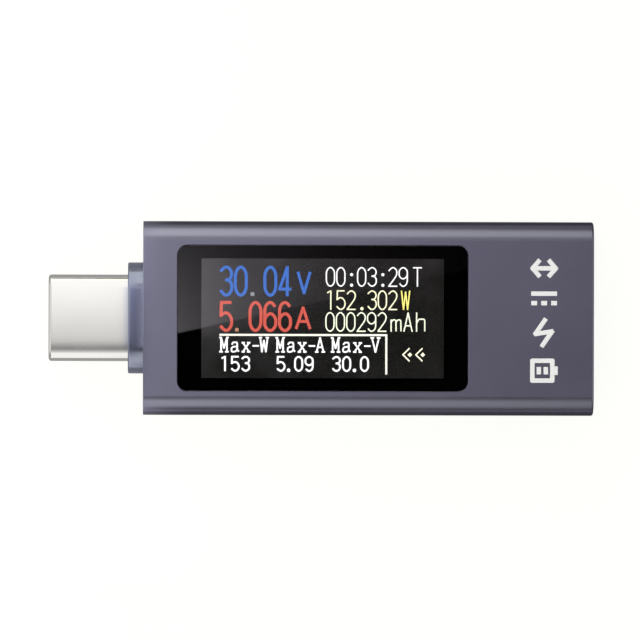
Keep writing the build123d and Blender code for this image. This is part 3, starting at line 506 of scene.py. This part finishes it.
def stroke_mesh(name, strokes, stroke, depth, height, dot=0.0, sides=16, turn=math.pi / 4):
    """A thin mesh of strokes, with flat faces, whose underside lies at a height. A dot has its own width."""
    curve = bpy.data.curves.new(name, "CURVE")
    curve.dimensions = "3D"
    curve.bevel_depth = stroke / 2
    curve.bevel_resolution = 1
    curve.use_fill_caps = True
    reach = stroke * 0.3  # past the end of a straight stroke, so that corners close
    rise = stroke * 0.02  # from stroke to stroke, so that those that cross don't share a face
    dots = []
    for kind, points in strokes:
        lift = len(curve.splines) * rise
        if kind == "dot":
            dots.append(points[0])
        elif kind == "line":
            for number, (start, end) in enumerate(zip(points, points[1:])):
                start, end = Vector(start), Vector(end)
                past = (end - start).normalized() * reach
                add_spline(curve, [start - past, end + past], False, False, lift + number * rise)
        else:
            add_spline(curve, points, True, kind == "ring", lift)
    drawn = bpy.data.objects.new(name, curve)
    bpy.context.scene.collection.objects.link(drawn)
    bpy.context.view_layer.update()
    seen = drawn.evaluated_get(bpy.context.evaluated_depsgraph_get())
    mesh = bpy.data.meshes.new_from_object(seen)
    mesh.name = name
    bpy.data.objects.remove(drawn)
    bpy.data.curves.remove(curve)
    shape = bmesh.new()
    shape.from_mesh(mesh)
    for x, y in dots:
        place = Matrix.Translation((x, y, 0.0)) @ Matrix.Rotation(turn, 4, "Z")
        bmesh.ops.create_cone(
            shape, cap_ends=True, segments=sides, radius1=dot / 2, radius2=dot / 2, depth=stroke, matrix=place
        )
    bmesh.ops.remove_doubles(shape, verts=shape.verts, dist=stroke * 0.001)
    bmesh.ops.scale(shape, vec=(1.0, 1.0, depth / stroke), verts=shape.verts)
    bmesh.ops.translate(shape, vec=(0.0, 0.0, height + depth / 2), verts=shape.verts)
    bmesh.ops.recalc_face_normals(shape, faces=shape.faces)
    for face in shape.faces:
        face.smooth = False
    shape.to_mesh(mesh)
    shape.free()
    return mesh


def add_piece(name, mesh, material):
    """A finished piece that rides on the meter."""
    piece = bpy.data.objects.new(name, mesh)
    bpy.context.scene.collection.objects.link(piece)
    mesh.materials.append(material)
    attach(piece, BODY)


# ------------------------------------------------------------------ operators for the finishes
class METER_OT_finish_case(Operator):
    """Finish the case, the end cap with the collar, and the cap round the socket"""

    bl_idname = "meter.finish_case"
    bl_label = "Finish the case"

    def execute(self, context):
        finish = context.scene.meter_finish
        tint, collar = tuple(finish.case_tint), tuple(finish.collar_tint)
        dress(blasted_aluminium("anodised_aluminium", tint), "case_tube", "rear_cap")
        dress(turned_aluminium("turned_aluminium", tint, collar, CASE_LOW.x), "front_cap")
        return {"FINISHED"}


class METER_OT_finish_plug(Operator):
    """Finish the shells, linings and contacts of the plug and the socket"""

    bl_idname = "meter.finish_plug"
    bl_label = "Finish the plug and the socket"

    def execute(self, context):
        tint = tuple(context.scene.meter_finish.plug_tint)
        dress(drawn_nickel("drawn_nickel", tint), "plug_shell", "socket_shell")
        dress_all(
            ("connector_plastic", (0.014, 0.014, 0.015), (0.38, 0.5), 0.08, 0.001,
             {"spread": 0.15, "cloud": 1.5 * MM}, ("plug_lining", "socket_insulator")),
            ("gold_plate", (0.90, 0.63, 0.26), (0.16, 0.28), 0.05, 0.0004,
             {"spread": 0.05, "cloud": 0.8 * MM, "stretch": (8, 1, 1), "Metallic": 1.0},
             ("plug_contacts_upper", "plug_contacts_lower",
              "socket_contacts_upper", "socket_contacts_lower")),
        )
        return {"FINISHED"}


class METER_OT_finish_springs(Operator):
    """Finish the small parts that are stamped from steel strip"""

    bl_idname = "meter.finish_springs"
    bl_label = "Finish the stamped parts"

    def execute(self, context):
        dress_all(
            ("stamped_steel", (0.60, 0.60, 0.61), (0.22, 0.34), 0.04, 0.0005,
             {"spread": 0.06, "cloud": 1.2 * MM, "stretch": (20, 1, 1), "Metallic": 1.0},
             ("plug_latch", "plug_ground_strips", "socket_mid_plate", "socket_shield", "switch_cover",
              "switch_dome", "clock_crystal")),
        )
        return {"FINISHED"}


class METER_OT_finish_button(Operator):
    """Finish the side button and its switch"""

    bl_idname = "meter.finish_button"
    bl_label = "Finish the button"

    def execute(self, context):
        dress_all(
            ("button_plastic", (0.035, 0.035, 0.038), (0.42, 0.52), 0.05, 0.002,
             {"spread": 0.08, "cloud": 1 * MM}, ("button_cap",)),
            ("switch_plastic", (0.03, 0.03, 0.03), (0.5, 0.6), 0.1, 0.001,
             {"spread": 0.10, "cloud": 1 * MM}, ("switch_base", "switch_stem")),
        )
        return {"FINISHED"}


class METER_OT_finish_screen(Operator):
    """Finish the lens, its black print and tape, and the display under them"""

    bl_idname = "meter.finish_screen"
    bl_label = "Finish the screen"

    def execute(self, context):
        dress(lens_glass("lens_glass"), "screen_lens")
        film = display_film("polariser_film", (0.0088, 0.0086, 0.0072))
        dress(film, "display_polariser", "display_rear_polariser")
        dress_all(
            ("mask_ink", (0.0012, 0.0012, 0.0014), (0.5, 0.6), 0.1, 0.0005,
             {"spread": 0.2, "Specular_IOR_Level": 0.0}, ("lens_mask",)),
            ("black_tape", (0.02, 0.02, 0.02), (0.6, 0.75), 0.15, 0.002, {"spread": 0.15}, ("lens_tape",)),
            ("gasket_foam", (0.03, 0.03, 0.032), (0.8, 0.95), 0.12, 0.02,
             {"spread": 0.25}, ("display_gasket",)),
            ("cell_glass", (0.55, 0.62, 0.60), (0.04, 0.08), 0.5, 0.0002,
             {"spread": 0.05, "Transmission_Weight": 0.8}, ("display_cover_glass", "display_tft_glass")),
            ("backlight_plastic", (0.82, 0.84, 0.86), (0.3, 0.42), 0.2, 0.001,
             {"spread": 0.04}, ("display_backlight",)),
            ("silicon", (0.10, 0.11, 0.13), (0.12, 0.2), 0.08, 0.0003,
             {"spread": 0.12, "Metallic": 0.7}, ("display_driver_chip",)),
            ("flex_film", (0.45, 0.20, 0.035), (0.25, 0.36), 0.12, 0.001,
             {"spread": 0.12, "stretch": (1, 6, 1)}, ("display_flex",)),
            ("holder_plastic", (0.05, 0.05, 0.055), (0.45, 0.58), 0.1, 0.002,
             {"spread": 0.1}, ("display_holder",)),
        )
        return {"FINISHED"}


class METER_OT_finish_board(Operator):
    """Finish the board, the parts on it and the sheet under it"""

    bl_idname = "meter.finish_board"
    bl_label = "Finish the board"

    def execute(self, context):
        dress(board_mask("solder_mask"), "main_board")
        dress_all(
            ("insulating_film", (0.02, 0.02, 0.022), (0.35, 0.5), 0.3, 0.002,
             {"spread": 0.2}, ("insulating_sheet",)),
            ("chip_plastic", (0.018, 0.018, 0.019), (0.55, 0.7), 0.06, 0.002,
             {"spread": 0.15, "cloud": 1 * MM},
             ("controller_chip", "memory_chip", "sense_amplifier", "voltage_regulator", "resistor_bodies")),
            ("tin", (0.70, 0.69, 0.67), (0.28, 0.45), 0.08, 0.002,
             {"spread": 0.08, "cloud": 0.6 * MM, "Metallic": 1.0},
             ("capacitor_terminals", "resistor_terminals", "shunt_terminals", "controller_leads",
              "small_chip_leads")),
            ("shunt_alloy", (0.50, 0.44, 0.38), (0.32, 0.45), 0.05, 0.001,
             {"spread": 0.07, "stretch": (1, 15, 1), "Metallic": 1.0}, ("current_shunt",)),
            ("ferrite", (0.055, 0.055, 0.058), (0.55, 0.75), 0.09, 0.006,
             {"spread": 0.2}, ("power_inductor",)),
            ("chip_ceramic", (0.42, 0.29, 0.17), (0.4, 0.55), 0.07, 0.002,
             {"spread": 0.12}, ("capacitor_bodies",)),
        )
        return {"FINISHED"}


# ------------------------------------------------------------------ operators for the new pieces
# Where the readout's rows start, from its middle.
LARGE_LEFT, SMALL_LEFT = -9.87 * MM, 0.25 * MM
VOLTS_BASE, AMPS_BASE = 2.01 * MM, -1.34 * MM
TIME_BASE, POWER_BASE, CHARGE_BASE = 2.98 * MM, 0.77 * MM, -1.30 * MM
LABEL_BASE, STORE_BASE = -3.29 * MM, -5.10 * MM


class METER_OT_add_readout(Operator):
    """Add what the screen shows: large figures, small figures, stored maxima, rules and arrows"""

    bl_idname = "meter.add_readout"
    bl_label = "Add the readout"

    def execute(self, context):
        finish, sizes = context.scene.meter_finish, context.scene.meter_sizes
        self.depth = sizes.light_depth
        self.height = DISPLAY_HIGH.z + 0.004 * MM  # clear of the film, so that no two faces coincide
        self.add_large(finish, sizes)
        self.add_small(finish, sizes)
        self.add_store(finish, sizes)
        self.add_rules()
        return {"FINISHED"}

    def show(self, name, strokes, stroke, material, **dots):
        """One piece of the readout, from strokes whose places are from the readout's middle."""
        mesh = stroke_mesh(name, strokes, stroke, self.depth, self.height, **dots)
        mesh.transform(Matrix.Translation((READOUT_MIDDLE.x, READOUT_MIDDLE.y, 0.0)))
        add_piece(name, mesh, material)

    def add_large(self, finish, sizes):
        """Voltage over current, each with its unit and its point."""
        pitch, stroke = sizes.big_pitch, sizes.big_stroke
        figure = {"width": sizes.big_width, "height": sizes.big_height, "pitch": pitch, "stroke": stroke}
        unit = {"height": 2.22 * MM, "pitch": 0.0, "stroke": 0.27 * MM}
        blue = lit_figures("lit_blue", finish.volts_tint, 1.0)
        red = lit_figures("lit_red", finish.amps_tint, 1.0)
        volts = place_row("30", LARGE_LEFT, VOLTS_BASE, **figure)
        volts += place_row("04", LARGE_LEFT + 3 * pitch, VOLTS_BASE, **figure)
        self.show("readout_volts", volts, stroke, blue)
        sign = place_row("V", -2.50 * MM, VOLTS_BASE + 0.21 * MM, 1.39 * MM, **unit)
        self.show("readout_volts_unit", sign, unit["stroke"], blue)
        amps = place_row("5", LARGE_LEFT, AMPS_BASE, **figure)
        amps += place_row("066", LARGE_LEFT + 2 * pitch, AMPS_BASE, **figure)
        self.show("readout_amps", amps, stroke, red)
        sign = place_row("A", -2.66 * MM, AMPS_BASE + 0.24 * MM, 1.55 * MM, **unit)
        self.show("readout_amps_unit", sign, unit["stroke"], red)
        for name, lit, tint, x, y, wide in (
            ("volts", "lit_grey", (0.34, 0.35, 0.38), -6.70 * MM, VOLTS_BASE + 0.25 * MM, 0.50 * MM),
            ("amps", "lit_warm", (0.60, 0.30, 0.18), -8.17 * MM, AMPS_BASE + 0.22 * MM, 0.46 * MM),
        ):
            dim, point = lit_figures(lit, tint, 1.0), [("dot", [(x, y)])]
            self.show(f"readout_{name}_point", point, 0.2 * MM, dim, dot=wide, sides=4)

    def add_small(self, finish, sizes):
        """Time, power and charge, one under the other."""
        pitch, stroke, strength = sizes.small_pitch, sizes.small_stroke, 1.35
        figure = {"width": sizes.small_width, "height": sizes.small_height, "pitch": pitch, "stroke": stroke}
        white = lit_figures("lit_white", finish.white_tint, strength)
        cream = lit_figures("lit_cream", finish.cream_tint, strength)
        green = lit_figures("lit_green", finish.green_tint, strength)
        yellow = lit_figures("lit_yellow", finish.yellow_tint, strength)
        time = place_row("00:03:29", SMALL_LEFT, TIME_BASE, **figure)
        time += place_row("T", SMALL_LEFT + 8.26 * MM, TIME_BASE, **figure)
        self.show("readout_time", time, stroke, white, dot=0.30 * MM)
        power = place_row("152.302", SMALL_LEFT, POWER_BASE, **figure)
        self.show("readout_power", power, stroke, cream, dot=0.32 * MM)
        watts = place_row("W", SMALL_LEFT + 7.14 * MM, POWER_BASE, **figure)
        self.show("readout_power_unit", watts, stroke, yellow)
        charge = place_row("000292", SMALL_LEFT - 0.03 * MM, CHARGE_BASE, **figure)
        milli = dict(figure, width=1.06 * MM, height=1.21 * MM)
        charge += place_row("m", SMALL_LEFT + 6.16 * MM, CHARGE_BASE, **milli)
        charge += place_row(["A small"], SMALL_LEFT + 7.38 * MM, CHARGE_BASE, **figure)
        charge += place_row("h", SMALL_LEFT + 8.58 * MM, CHARGE_BASE, **figure)
        self.show("readout_charge", charge, stroke, green)

    def add_store(self, finish, sizes):
        """Three stored maxima: a label over a number, side by side."""
        bright = lit_figures("lit_bright", finish.white_tint, 1.45)
        steps = (0.0, 1.08 * MM, 2.12 * MM, 3.13 * MM, 3.76 * MM)
        widths = (0.97 * MM, 0.90 * MM, 0.90 * MM, 0.74 * MM, 1.02 * MM)
        height, stroke = sizes.store_height, sizes.store_stroke
        thin = stroke * 0.9
        for name, left, last, number in (
            ("power", LARGE_LEFT, "W serif", ["1", "5", "3"]),
            ("current", -4.54 * MM, "A serif", ["5", "point", "0", "9"]),
            ("voltage", 0.72 * MM, "V serif", ["3", "0", "point", "0"]),
        ):
            label = []
            for sign, step, width in zip(("M serif", "a serif", "x serif", "-", last), steps, widths):
                label += place_strokes(sign, left + step, LABEL_BASE, width, height, thin)
            self.show(f"readout_{name}_label", label, thin, bright)
            left += 0.12 * MM
            value = place_row(number, left, STORE_BASE, 0.86 * MM, height, 0.99 * MM, stroke, narrow=0.71)
            self.show(f"readout_{name}_store", value, stroke, bright, dot=0.34 * MM)

    def add_rules(self):
        """The corner of two rules round the stored maxima, and the arrows beside it."""
        cream = lit_figures("lit_ivory", (1.0, 0.97, 0.80), 1.3)
        warm = lit_figures("lit_straw", (1.0, 0.90, 0.66), 1.4)
        corner_x, corner_y = 6.02 * MM, -1.61 * MM
        across = ("line", [(-9.76 * MM, corner_y), (corner_x, corner_y)])
        down = ("line", [(corner_x, corner_y), (corner_x, -5.28 * MM)])
        self.show("readout_rules", [across, down], 0.19 * MM, cream)
        arrows, dots = [], []
        for left in (7.60 * MM, 8.83 * MM):
            arrows += place_strokes("chevron", left, -4.05 * MM, 0.60 * MM, 1.18 * MM)
            dots.append(("dot", [(left + 0.66 * MM, -3.46 * MM)]))
        self.show("readout_arrows", arrows, 0.13 * MM, warm)
        self.show("readout_diamonds", dots, 0.14 * MM, warm, dot=0.44 * MM, sides=4, turn=0.0)


class METER_OT_add_signs(Operator):
    """Add the column of printed signs between the screen and the socket"""

    bl_idname = "meter.add_signs"
    bl_label = "Add the printed signs"

    def execute(self, context):
        finish, sizes = context.scene.meter_finish, context.scene.meter_sizes
        # The ink has a painted glow, so that the signs stay white in weak light.
        ink = ink_with_painted_glow("white_ink_painted_glow", tuple(finish.print_tint))
        stroke, depth = sizes.print_stroke, sizes.print_depth
        width = 2.62 * MM
        left = CASE_HIGH.x - 4.75 * MM - width / 2
        underside = CASE_HIGH.z - 0.001 * MM  # just inside the case, so that the ink is bonded to it
        for name, base, top in (
            ("current_arrow", 3.80 * MM, 5.80 * MM),
            ("direct_current", 1.10 * MM, 2.80 * MM),
            ("charge_bolt", -2.75 * MM, 0.15 * MM),
            ("battery_cell", -6.05 * MM, -3.75 * MM),
        ):
            strokes = place_strokes(name, left, base, width, top - base, stroke)
            add_piece("print_" + name, stroke_mesh("print_" + name, strokes, stroke, depth, underside), ink)
        return {"FINISHED"}


# ------------------------------------------------------------------ studio
def stage_card(name, centre, width, depth, facing, material):
    """A flat card in the studio, which the camera doesn't see."""
    shape = bmesh.new()
    bmesh.ops.create_grid(shape, x_segments=1, y_segments=1, size=0.5)
    bmesh.ops.scale(shape, vec=(width, depth, 1.0), verts=shape.verts)
    turn = Vector(facing).to_track_quat("Z", "Y").to_matrix().to_4x4()
    bmesh.ops.transform(shape, matrix=Matrix.Translation(centre) @ turn, verts=shape.verts)
    mesh = bpy.data.meshes.new(name)
    shape.to_mesh(mesh)
    shape.free()
    mesh.materials.append(material)
    card = bpy.data.objects.new(name, mesh)
    bpy.context.scene.collection.objects.link(card)
    card.visible_camera = False
    card.visible_shadow = False
    return card


def bare_material(name):
    """A new material with no shader, and the socket of its surface."""
    material = bpy.data.materials.new(name)
    material.use_nodes = True
    nodes = material.node_tree.nodes
    nodes.remove(nodes["Principled BSDF"])
    return material, nodes["Material Output"].inputs["Surface"]


def light_material(name, colour=(1.0, 1.0, 1.0), strength=1.0):
    """A material that only gives light, and the sockets of the light's colour and strength."""
    material, surface = bare_material(name)
    light = add_node(material, "Emission", {"Color": colour, "Strength": strength})
    feed(material, surface, light.outputs[0])
    return material, light.inputs["Color"], light.inputs["Strength"]


def held(material, value, low, high):
    """The value, held between two limits."""
    return ramp(material, value, low, high, low, high)


def overhead_material(brightness):
    """The card overhead: a pool of light beyond the plug, split by a slanting flag, dim over the glass."""
    material, colour, strength = light_material("overhead_light")
    x, y, _ = position(material)
    plug_end, socket_end = (0.96, 1.10, 1.04), (1.04, 0.70, 0.92)
    along = ramp(material, x, -120 * MM, 120 * MM, 0.0, 1.0)
    feed(material, colour, mix_colours(material, along, plug_end, socket_end))

    # The flag: light south of its edge is dimmed.
    slope, crossing = math.tan(math.radians(12.6)), -0.11 * MM
    north = arithmetic(material, "SUBTRACT", y, arithmetic(material, "MULTIPLY_ADD", x, slope, crossing))
    flag = ramp(material, north, 0.0, 0.5 * MM, 0.0, 1.0, soft=True)

    # The pool round a middle that lies beyond the plug.
    middle_x, middle_y, spread, peak = -92 * MM, 60 * MM, 110 * MM, 2.35
    away_x = arithmetic(material, "MULTIPLY_ADD", x, 1 / spread, -middle_x / spread)
    away_y = arithmetic(material, "MULTIPLY_ADD", y, 1 / spread, -middle_y / spread)
    away = arithmetic(material, "MULTIPLY_ADD", away_x, away_x, times(material, away_y, away_y))
    pool = times(material, arithmetic(material, "EXPONENT", times(material, away, -1.0)), peak)
    bare = mix_numbers(material, flag, times(material, pool, 0.50), pool)

    # The patch that the glass mirrors: it fades along the meter, and away from the flag's edge.
    fade = arithmetic(material, "DIVIDE", arithmetic(material, "ADD", x, 12.2 * MM), -13.8 * MM)
    across = times(material, ramp(material, north, 0.0, 25 * MM, 1.6, 0.24), 0.56)
    patch = times(material, times(material, arithmetic(material, "EXPONENT", fade), across), flag)
    in_x = arithmetic(material, "COMPARE", x, 16 * MM, 32 * MM)
    in_y = arithmetic(material, "COMPARE", y, 0.5 * MM, 17.5 * MM)
    mixed = mix_numbers(material, times(material, in_x, in_y), bare, patch)
    feed(material, strength, times(material, mixed, brightness))
    return material


def plug_card_material(brightness):
    """The small card over the plug and the collar: bright to +Y, with a dim stripe, blue over the collar."""
    material, colour, strength = light_material("plug_light")
    x, y, _ = position(material)
    north = ramp(material, y, -2.4 * MM, 3.0 * MM, 0.76, 1.25)
    south = ramp(material, y, -12.5 * MM, -3.2 * MM, 1.15, 0.20)
    shown = mix_numbers(material, ramp(material, y, -3.0 * MM, -2.2 * MM, 0.0, 1.0, soft=True), south, north)
    collar = ramp(material, x, COLLAR_LOW.x - 0.4 * MM, COLLAR_LOW.x, 0.0, 1.0)
    away = arithmetic(material, "ABSOLUTE", arithmetic(material, "ADD", y, 0.5 * MM))
    flat = times(material, collar, ramp(material, away, 2.6 * MM, 6 * MM, 1.0, 0.0))
    feed(material, colour, mix_colours(material, flat, (1.0, 0.995, 0.98), (1.0, 1.06, 1.45)))
    dimmed = times(material, shown, arithmetic(material, "MULTIPLY_ADD", flat, -0.68, 1.0))
    feed(material, strength, times(material, dimmed, brightness))
    return material


def side_material(name, tint, brightness, level, fall, low, high, slant):
    """A long card, soft at its top and at its slanting foot, whose level falls away from the plug."""
    material, _, strength = light_material(name, tint)
    x, _, z = position(material)
    soft = 0.05
    height = arithmetic(material, "SUBTRACT", z, times(material, held(material, x, -60 * MM, 80 * MM), slant))
    above = ramp(material, height, low - soft, low + soft, 0.0, 1.0, soft=True)
    below = ramp(material, z, high - soft, high + soft, 1.0, 0.0, soft=True)
    falling = arithmetic(material, "MULTIPLY_ADD", held(material, x, -60 * MM, 90 * MM), -fall, level)
    ends = ramp(material, arithmetic(material, "ABSOLUTE", x), 80 * MM, 260 * MM, 1.0, 0.3, soft=True)
    along = times(material, arithmetic(material, "MAXIMUM", falling, 0.05), ends)
    shown = times(material, times(material, above, below), along)
    feed(material, strength, times(material, shown, brightness))
    return material


def floor_material():
    """A pale floor: near white where it is seen, and grey, brighter under the plug, where it is mirrored."""
    material, surface = bare_material("pale_floor")
    glow = add_node(material, "Emission", {"Color": (1.0, 1.0, 0.965), "Strength": 0.93}).outputs[0]
    matt = add_node(material, "BsdfDiffuse", {"Color": (0.16, 0.16, 0.155)}).outputs[0]
    seen = add_node(material, "AddShader", {0: glow, 1: matt}).outputs[0]
    x, y, _ = position(material)
    by_plug = ramp(material, x, CASE_LOW.x - 1 * MM, CASE_LOW.x + 3 * MM, 0.40, 0.12, soft=True)
    under = times(material, by_plug, ramp(material, x, CASE_LOW.x, CASE_HIGH.x, 1.0, 0.8))
    far_x, far_y = arithmetic(material, "ABSOLUTE", x), arithmetic(material, "ABSOLUTE", y)
    past_end = arithmetic(material, "SUBTRACT", far_x, CASE_HIGH.x - CASE_HIGH.y)
    away = arithmetic(material, "MAXIMUM", far_y, past_end)
    level = arithmetic(material, "ADD", under, ramp(material, away, 20 * MM, 90 * MM, 0.0, 0.42, soft=True))
    mirrored = add_node(material, "Emission", {"Color": (1.0, 0.99, 0.97), "Strength": level}).outputs[0]
    by_camera = add_node(material, "LightPath").outputs["Is Camera Ray"]
    shown = add_node(material, "MixShader", {"Fac": by_camera, 1: mirrored, 2: seen})
    feed(material, surface, shown.outputs[0])
    return material


class METER_OT_set_studio(Operator):
    """Add the floor, the cards that light the meter, and the camera"""

    bl_idname = "meter.set_studio"
    bl_label = "Set the studio"

    def execute(self, context):
        studio = context.scene.meter_studio
        self.add_floor()
        self.add_cards(studio)
        self.add_camera(context, studio)
        self.set_surroundings(context)
        return {"FINISHED"}

    def add_floor(self):
        """A floor just under the meter, which the camera does see."""
        floor = stage_card("floor", (0.0, 0.0, -0.2 * MM), 8.0, 8.0, (0, 0, 1), floor_material())
        floor.visible_camera = True

    def add_cards(self, studio):
        """A wide card overhead, long ones beside the meter, square ones past its ends, two by the plug."""
        overhead = overhead_material(studio.overhead)
        stage_card("card_overhead", (0.0, 0.0, 0.65), 0.8, 0.8, (0, 0, -1), overhead)
        reach, rise = 0.5, math.radians(38)
        out, up = reach * math.cos(rise), reach * math.sin(rise)
        for name, side, tint, brightness, *shape in (
            ("card_far", 1, (0.98, 1.0, 0.88), studio.far_side, 1.46, 10.5, 0.14, 0.55, 1.6),
            ("card_near", -1, (0.98, 1.0, 0.90), studio.near_side, 1.0, 9.0, 0.165, 0.56, -1.2),
        ):
            centre = Vector((0.0, side * out, up))
            material = side_material(name + "_light", tint, brightness, *shape)
            stage_card(name, centre, 0.9, 0.78, -centre, material)
        for name, side, brightness in (("card_plug_end", -1, 0.9), ("card_socket_end", 1, 0.6)):
            centre = Vector((side * out, 0.0, up))
            material = light_material(name + "_light", (1.0, 1.0, 0.98), brightness * studio.far_side)[0]
            stage_card(name, centre, 0.5, 0.5, -centre, material)
        clear, past = 14 * MM, 1.2 * MM  # over the meter's back, and beyond the plug's tip
        centre = ((PLUG_LOW.x + CASE_LOW.x) / 2 - past, 0.0, clear)
        width = CASE_LOW.x - PLUG_LOW.x + past
        stage_card("card_plug", centre, width, 50 * MM, (0, 0, -1), plug_card_material(studio.overhead))
        centre = ((PLUG_LOW.x + COLLAR_LOW.x) / 2 - 3 * MM, PLUG_LOW.y - 22 * MM, clear)
        bounce = light_material("bounce_light", (1.0, 0.99, 0.98), 1.15 * studio.near_side)[0]
        stage_card("card_bounce", centre, 16 * MM, 24 * MM, (0, 1, 0), bounce)

    def add_camera(self, context, studio):
        """A camera that looks down on the screen."""
        data = bpy.data.cameras.new("camera")
        data.sensor_width = 36.0
        data.lens = data.sensor_width * studio.camera_distance / studio.field_width
        data.clip_start, data.clip_end = 0.01, 20.0
        camera = bpy.data.objects.new("camera", data)
        context.scene.collection.objects.link(camera)
        yaw = studio.camera_yaw
        back = Vector((-math.sin(yaw), 0.0, math.cos(yaw)))
        camera.location = CAMERA_AIM + back * studio.camera_distance
        camera.rotation_euler = (0.0, -yaw, studio.camera_roll)
        context.scene.camera = camera

    def set_surroundings(self, context):
        """A studio that is dark overhead, dim at the height of the meter, and brighter beyond its ends."""
        world = bpy.data.worlds.new("studio_walls")
        world.use_nodes = True
        towards = add_node(world, "TexCoord").outputs["Generated"]
        parts = add_node(world, "SeparateXYZ", {"Vector": towards}).outputs
        ends = ramp(world, arithmetic(world, "ABSOLUTE", parts["X"]), 0.45, 0.8, 0.08, 0.6, soft=True)
        low_down = ramp(world, parts["Z"], 0.3, 0.8, 1.0, 0.0, soft=True)
        back = world.node_tree.nodes["Background"].inputs
        feed(world, back["Color"], (1.0, 0.99, 0.97))
        feed(world, back["Strength"], times(world, ends, low_down))
        context.scene.world = world
        context.scene.view_settings.view_transform = "Standard"


# ------------------------------------------------------------------ panel
class METER_PT_panel(Panel):
    """Lists what finishes and builds the meter"""

    bl_idname = "METER_PT_panel"
    bl_label = "Power meter"
    bl_space_type = "VIEW_3D"
    bl_region_type = "UI"
    bl_category = "Meter"

    def draw(self, context):
        scene = context.scene
        for group in (scene.meter_finish, scene.meter_sizes, scene.meter_studio):
            box = self.layout.box()
            for name in group.bl_rna.properties.keys():
                if name not in ("rna_type", "name"):
                    box.prop(group, name)
        for operator in OPERATORS:
            self.layout.operator(operator.bl_idname)


OPERATORS = (
    METER_OT_finish_case,
    METER_OT_finish_plug,
    METER_OT_finish_springs,
    METER_OT_finish_button,
    METER_OT_finish_screen,
    METER_OT_finish_board,
    METER_OT_add_readout,
    METER_OT_add_signs,
    METER_OT_set_studio,
)
GROUPS = {"meter_finish": MeterFinish, "meter_sizes": MeterSizes, "meter_studio": MeterStudio}
CLASSES = (*GROUPS.values(), *OPERATORS, METER_PT_panel)


def register():
    for made in CLASSES:
        bpy.utils.register_class(made)
    for name, group in GROUPS.items():
        setattr(bpy.types.Scene, name, PointerProperty(type=group))


def unregister():
    for name in GROUPS:
        delattr(bpy.types.Scene, name)
    for made in reversed(CLASSES):
        bpy.utils.unregister_class(made)


def main():
    """Register everything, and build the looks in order."""
    register()
    for operator in OPERATORS:
        family, name = operator.bl_idname.split(".")
        getattr(getattr(bpy.ops, family), name)()
    plain = [name for name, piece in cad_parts.items() if "dressed" not in piece]
    if plain:
        raise RuntimeError(f"these pieces have no finish: {plain}")


if __name__ == "__main__":
    main()
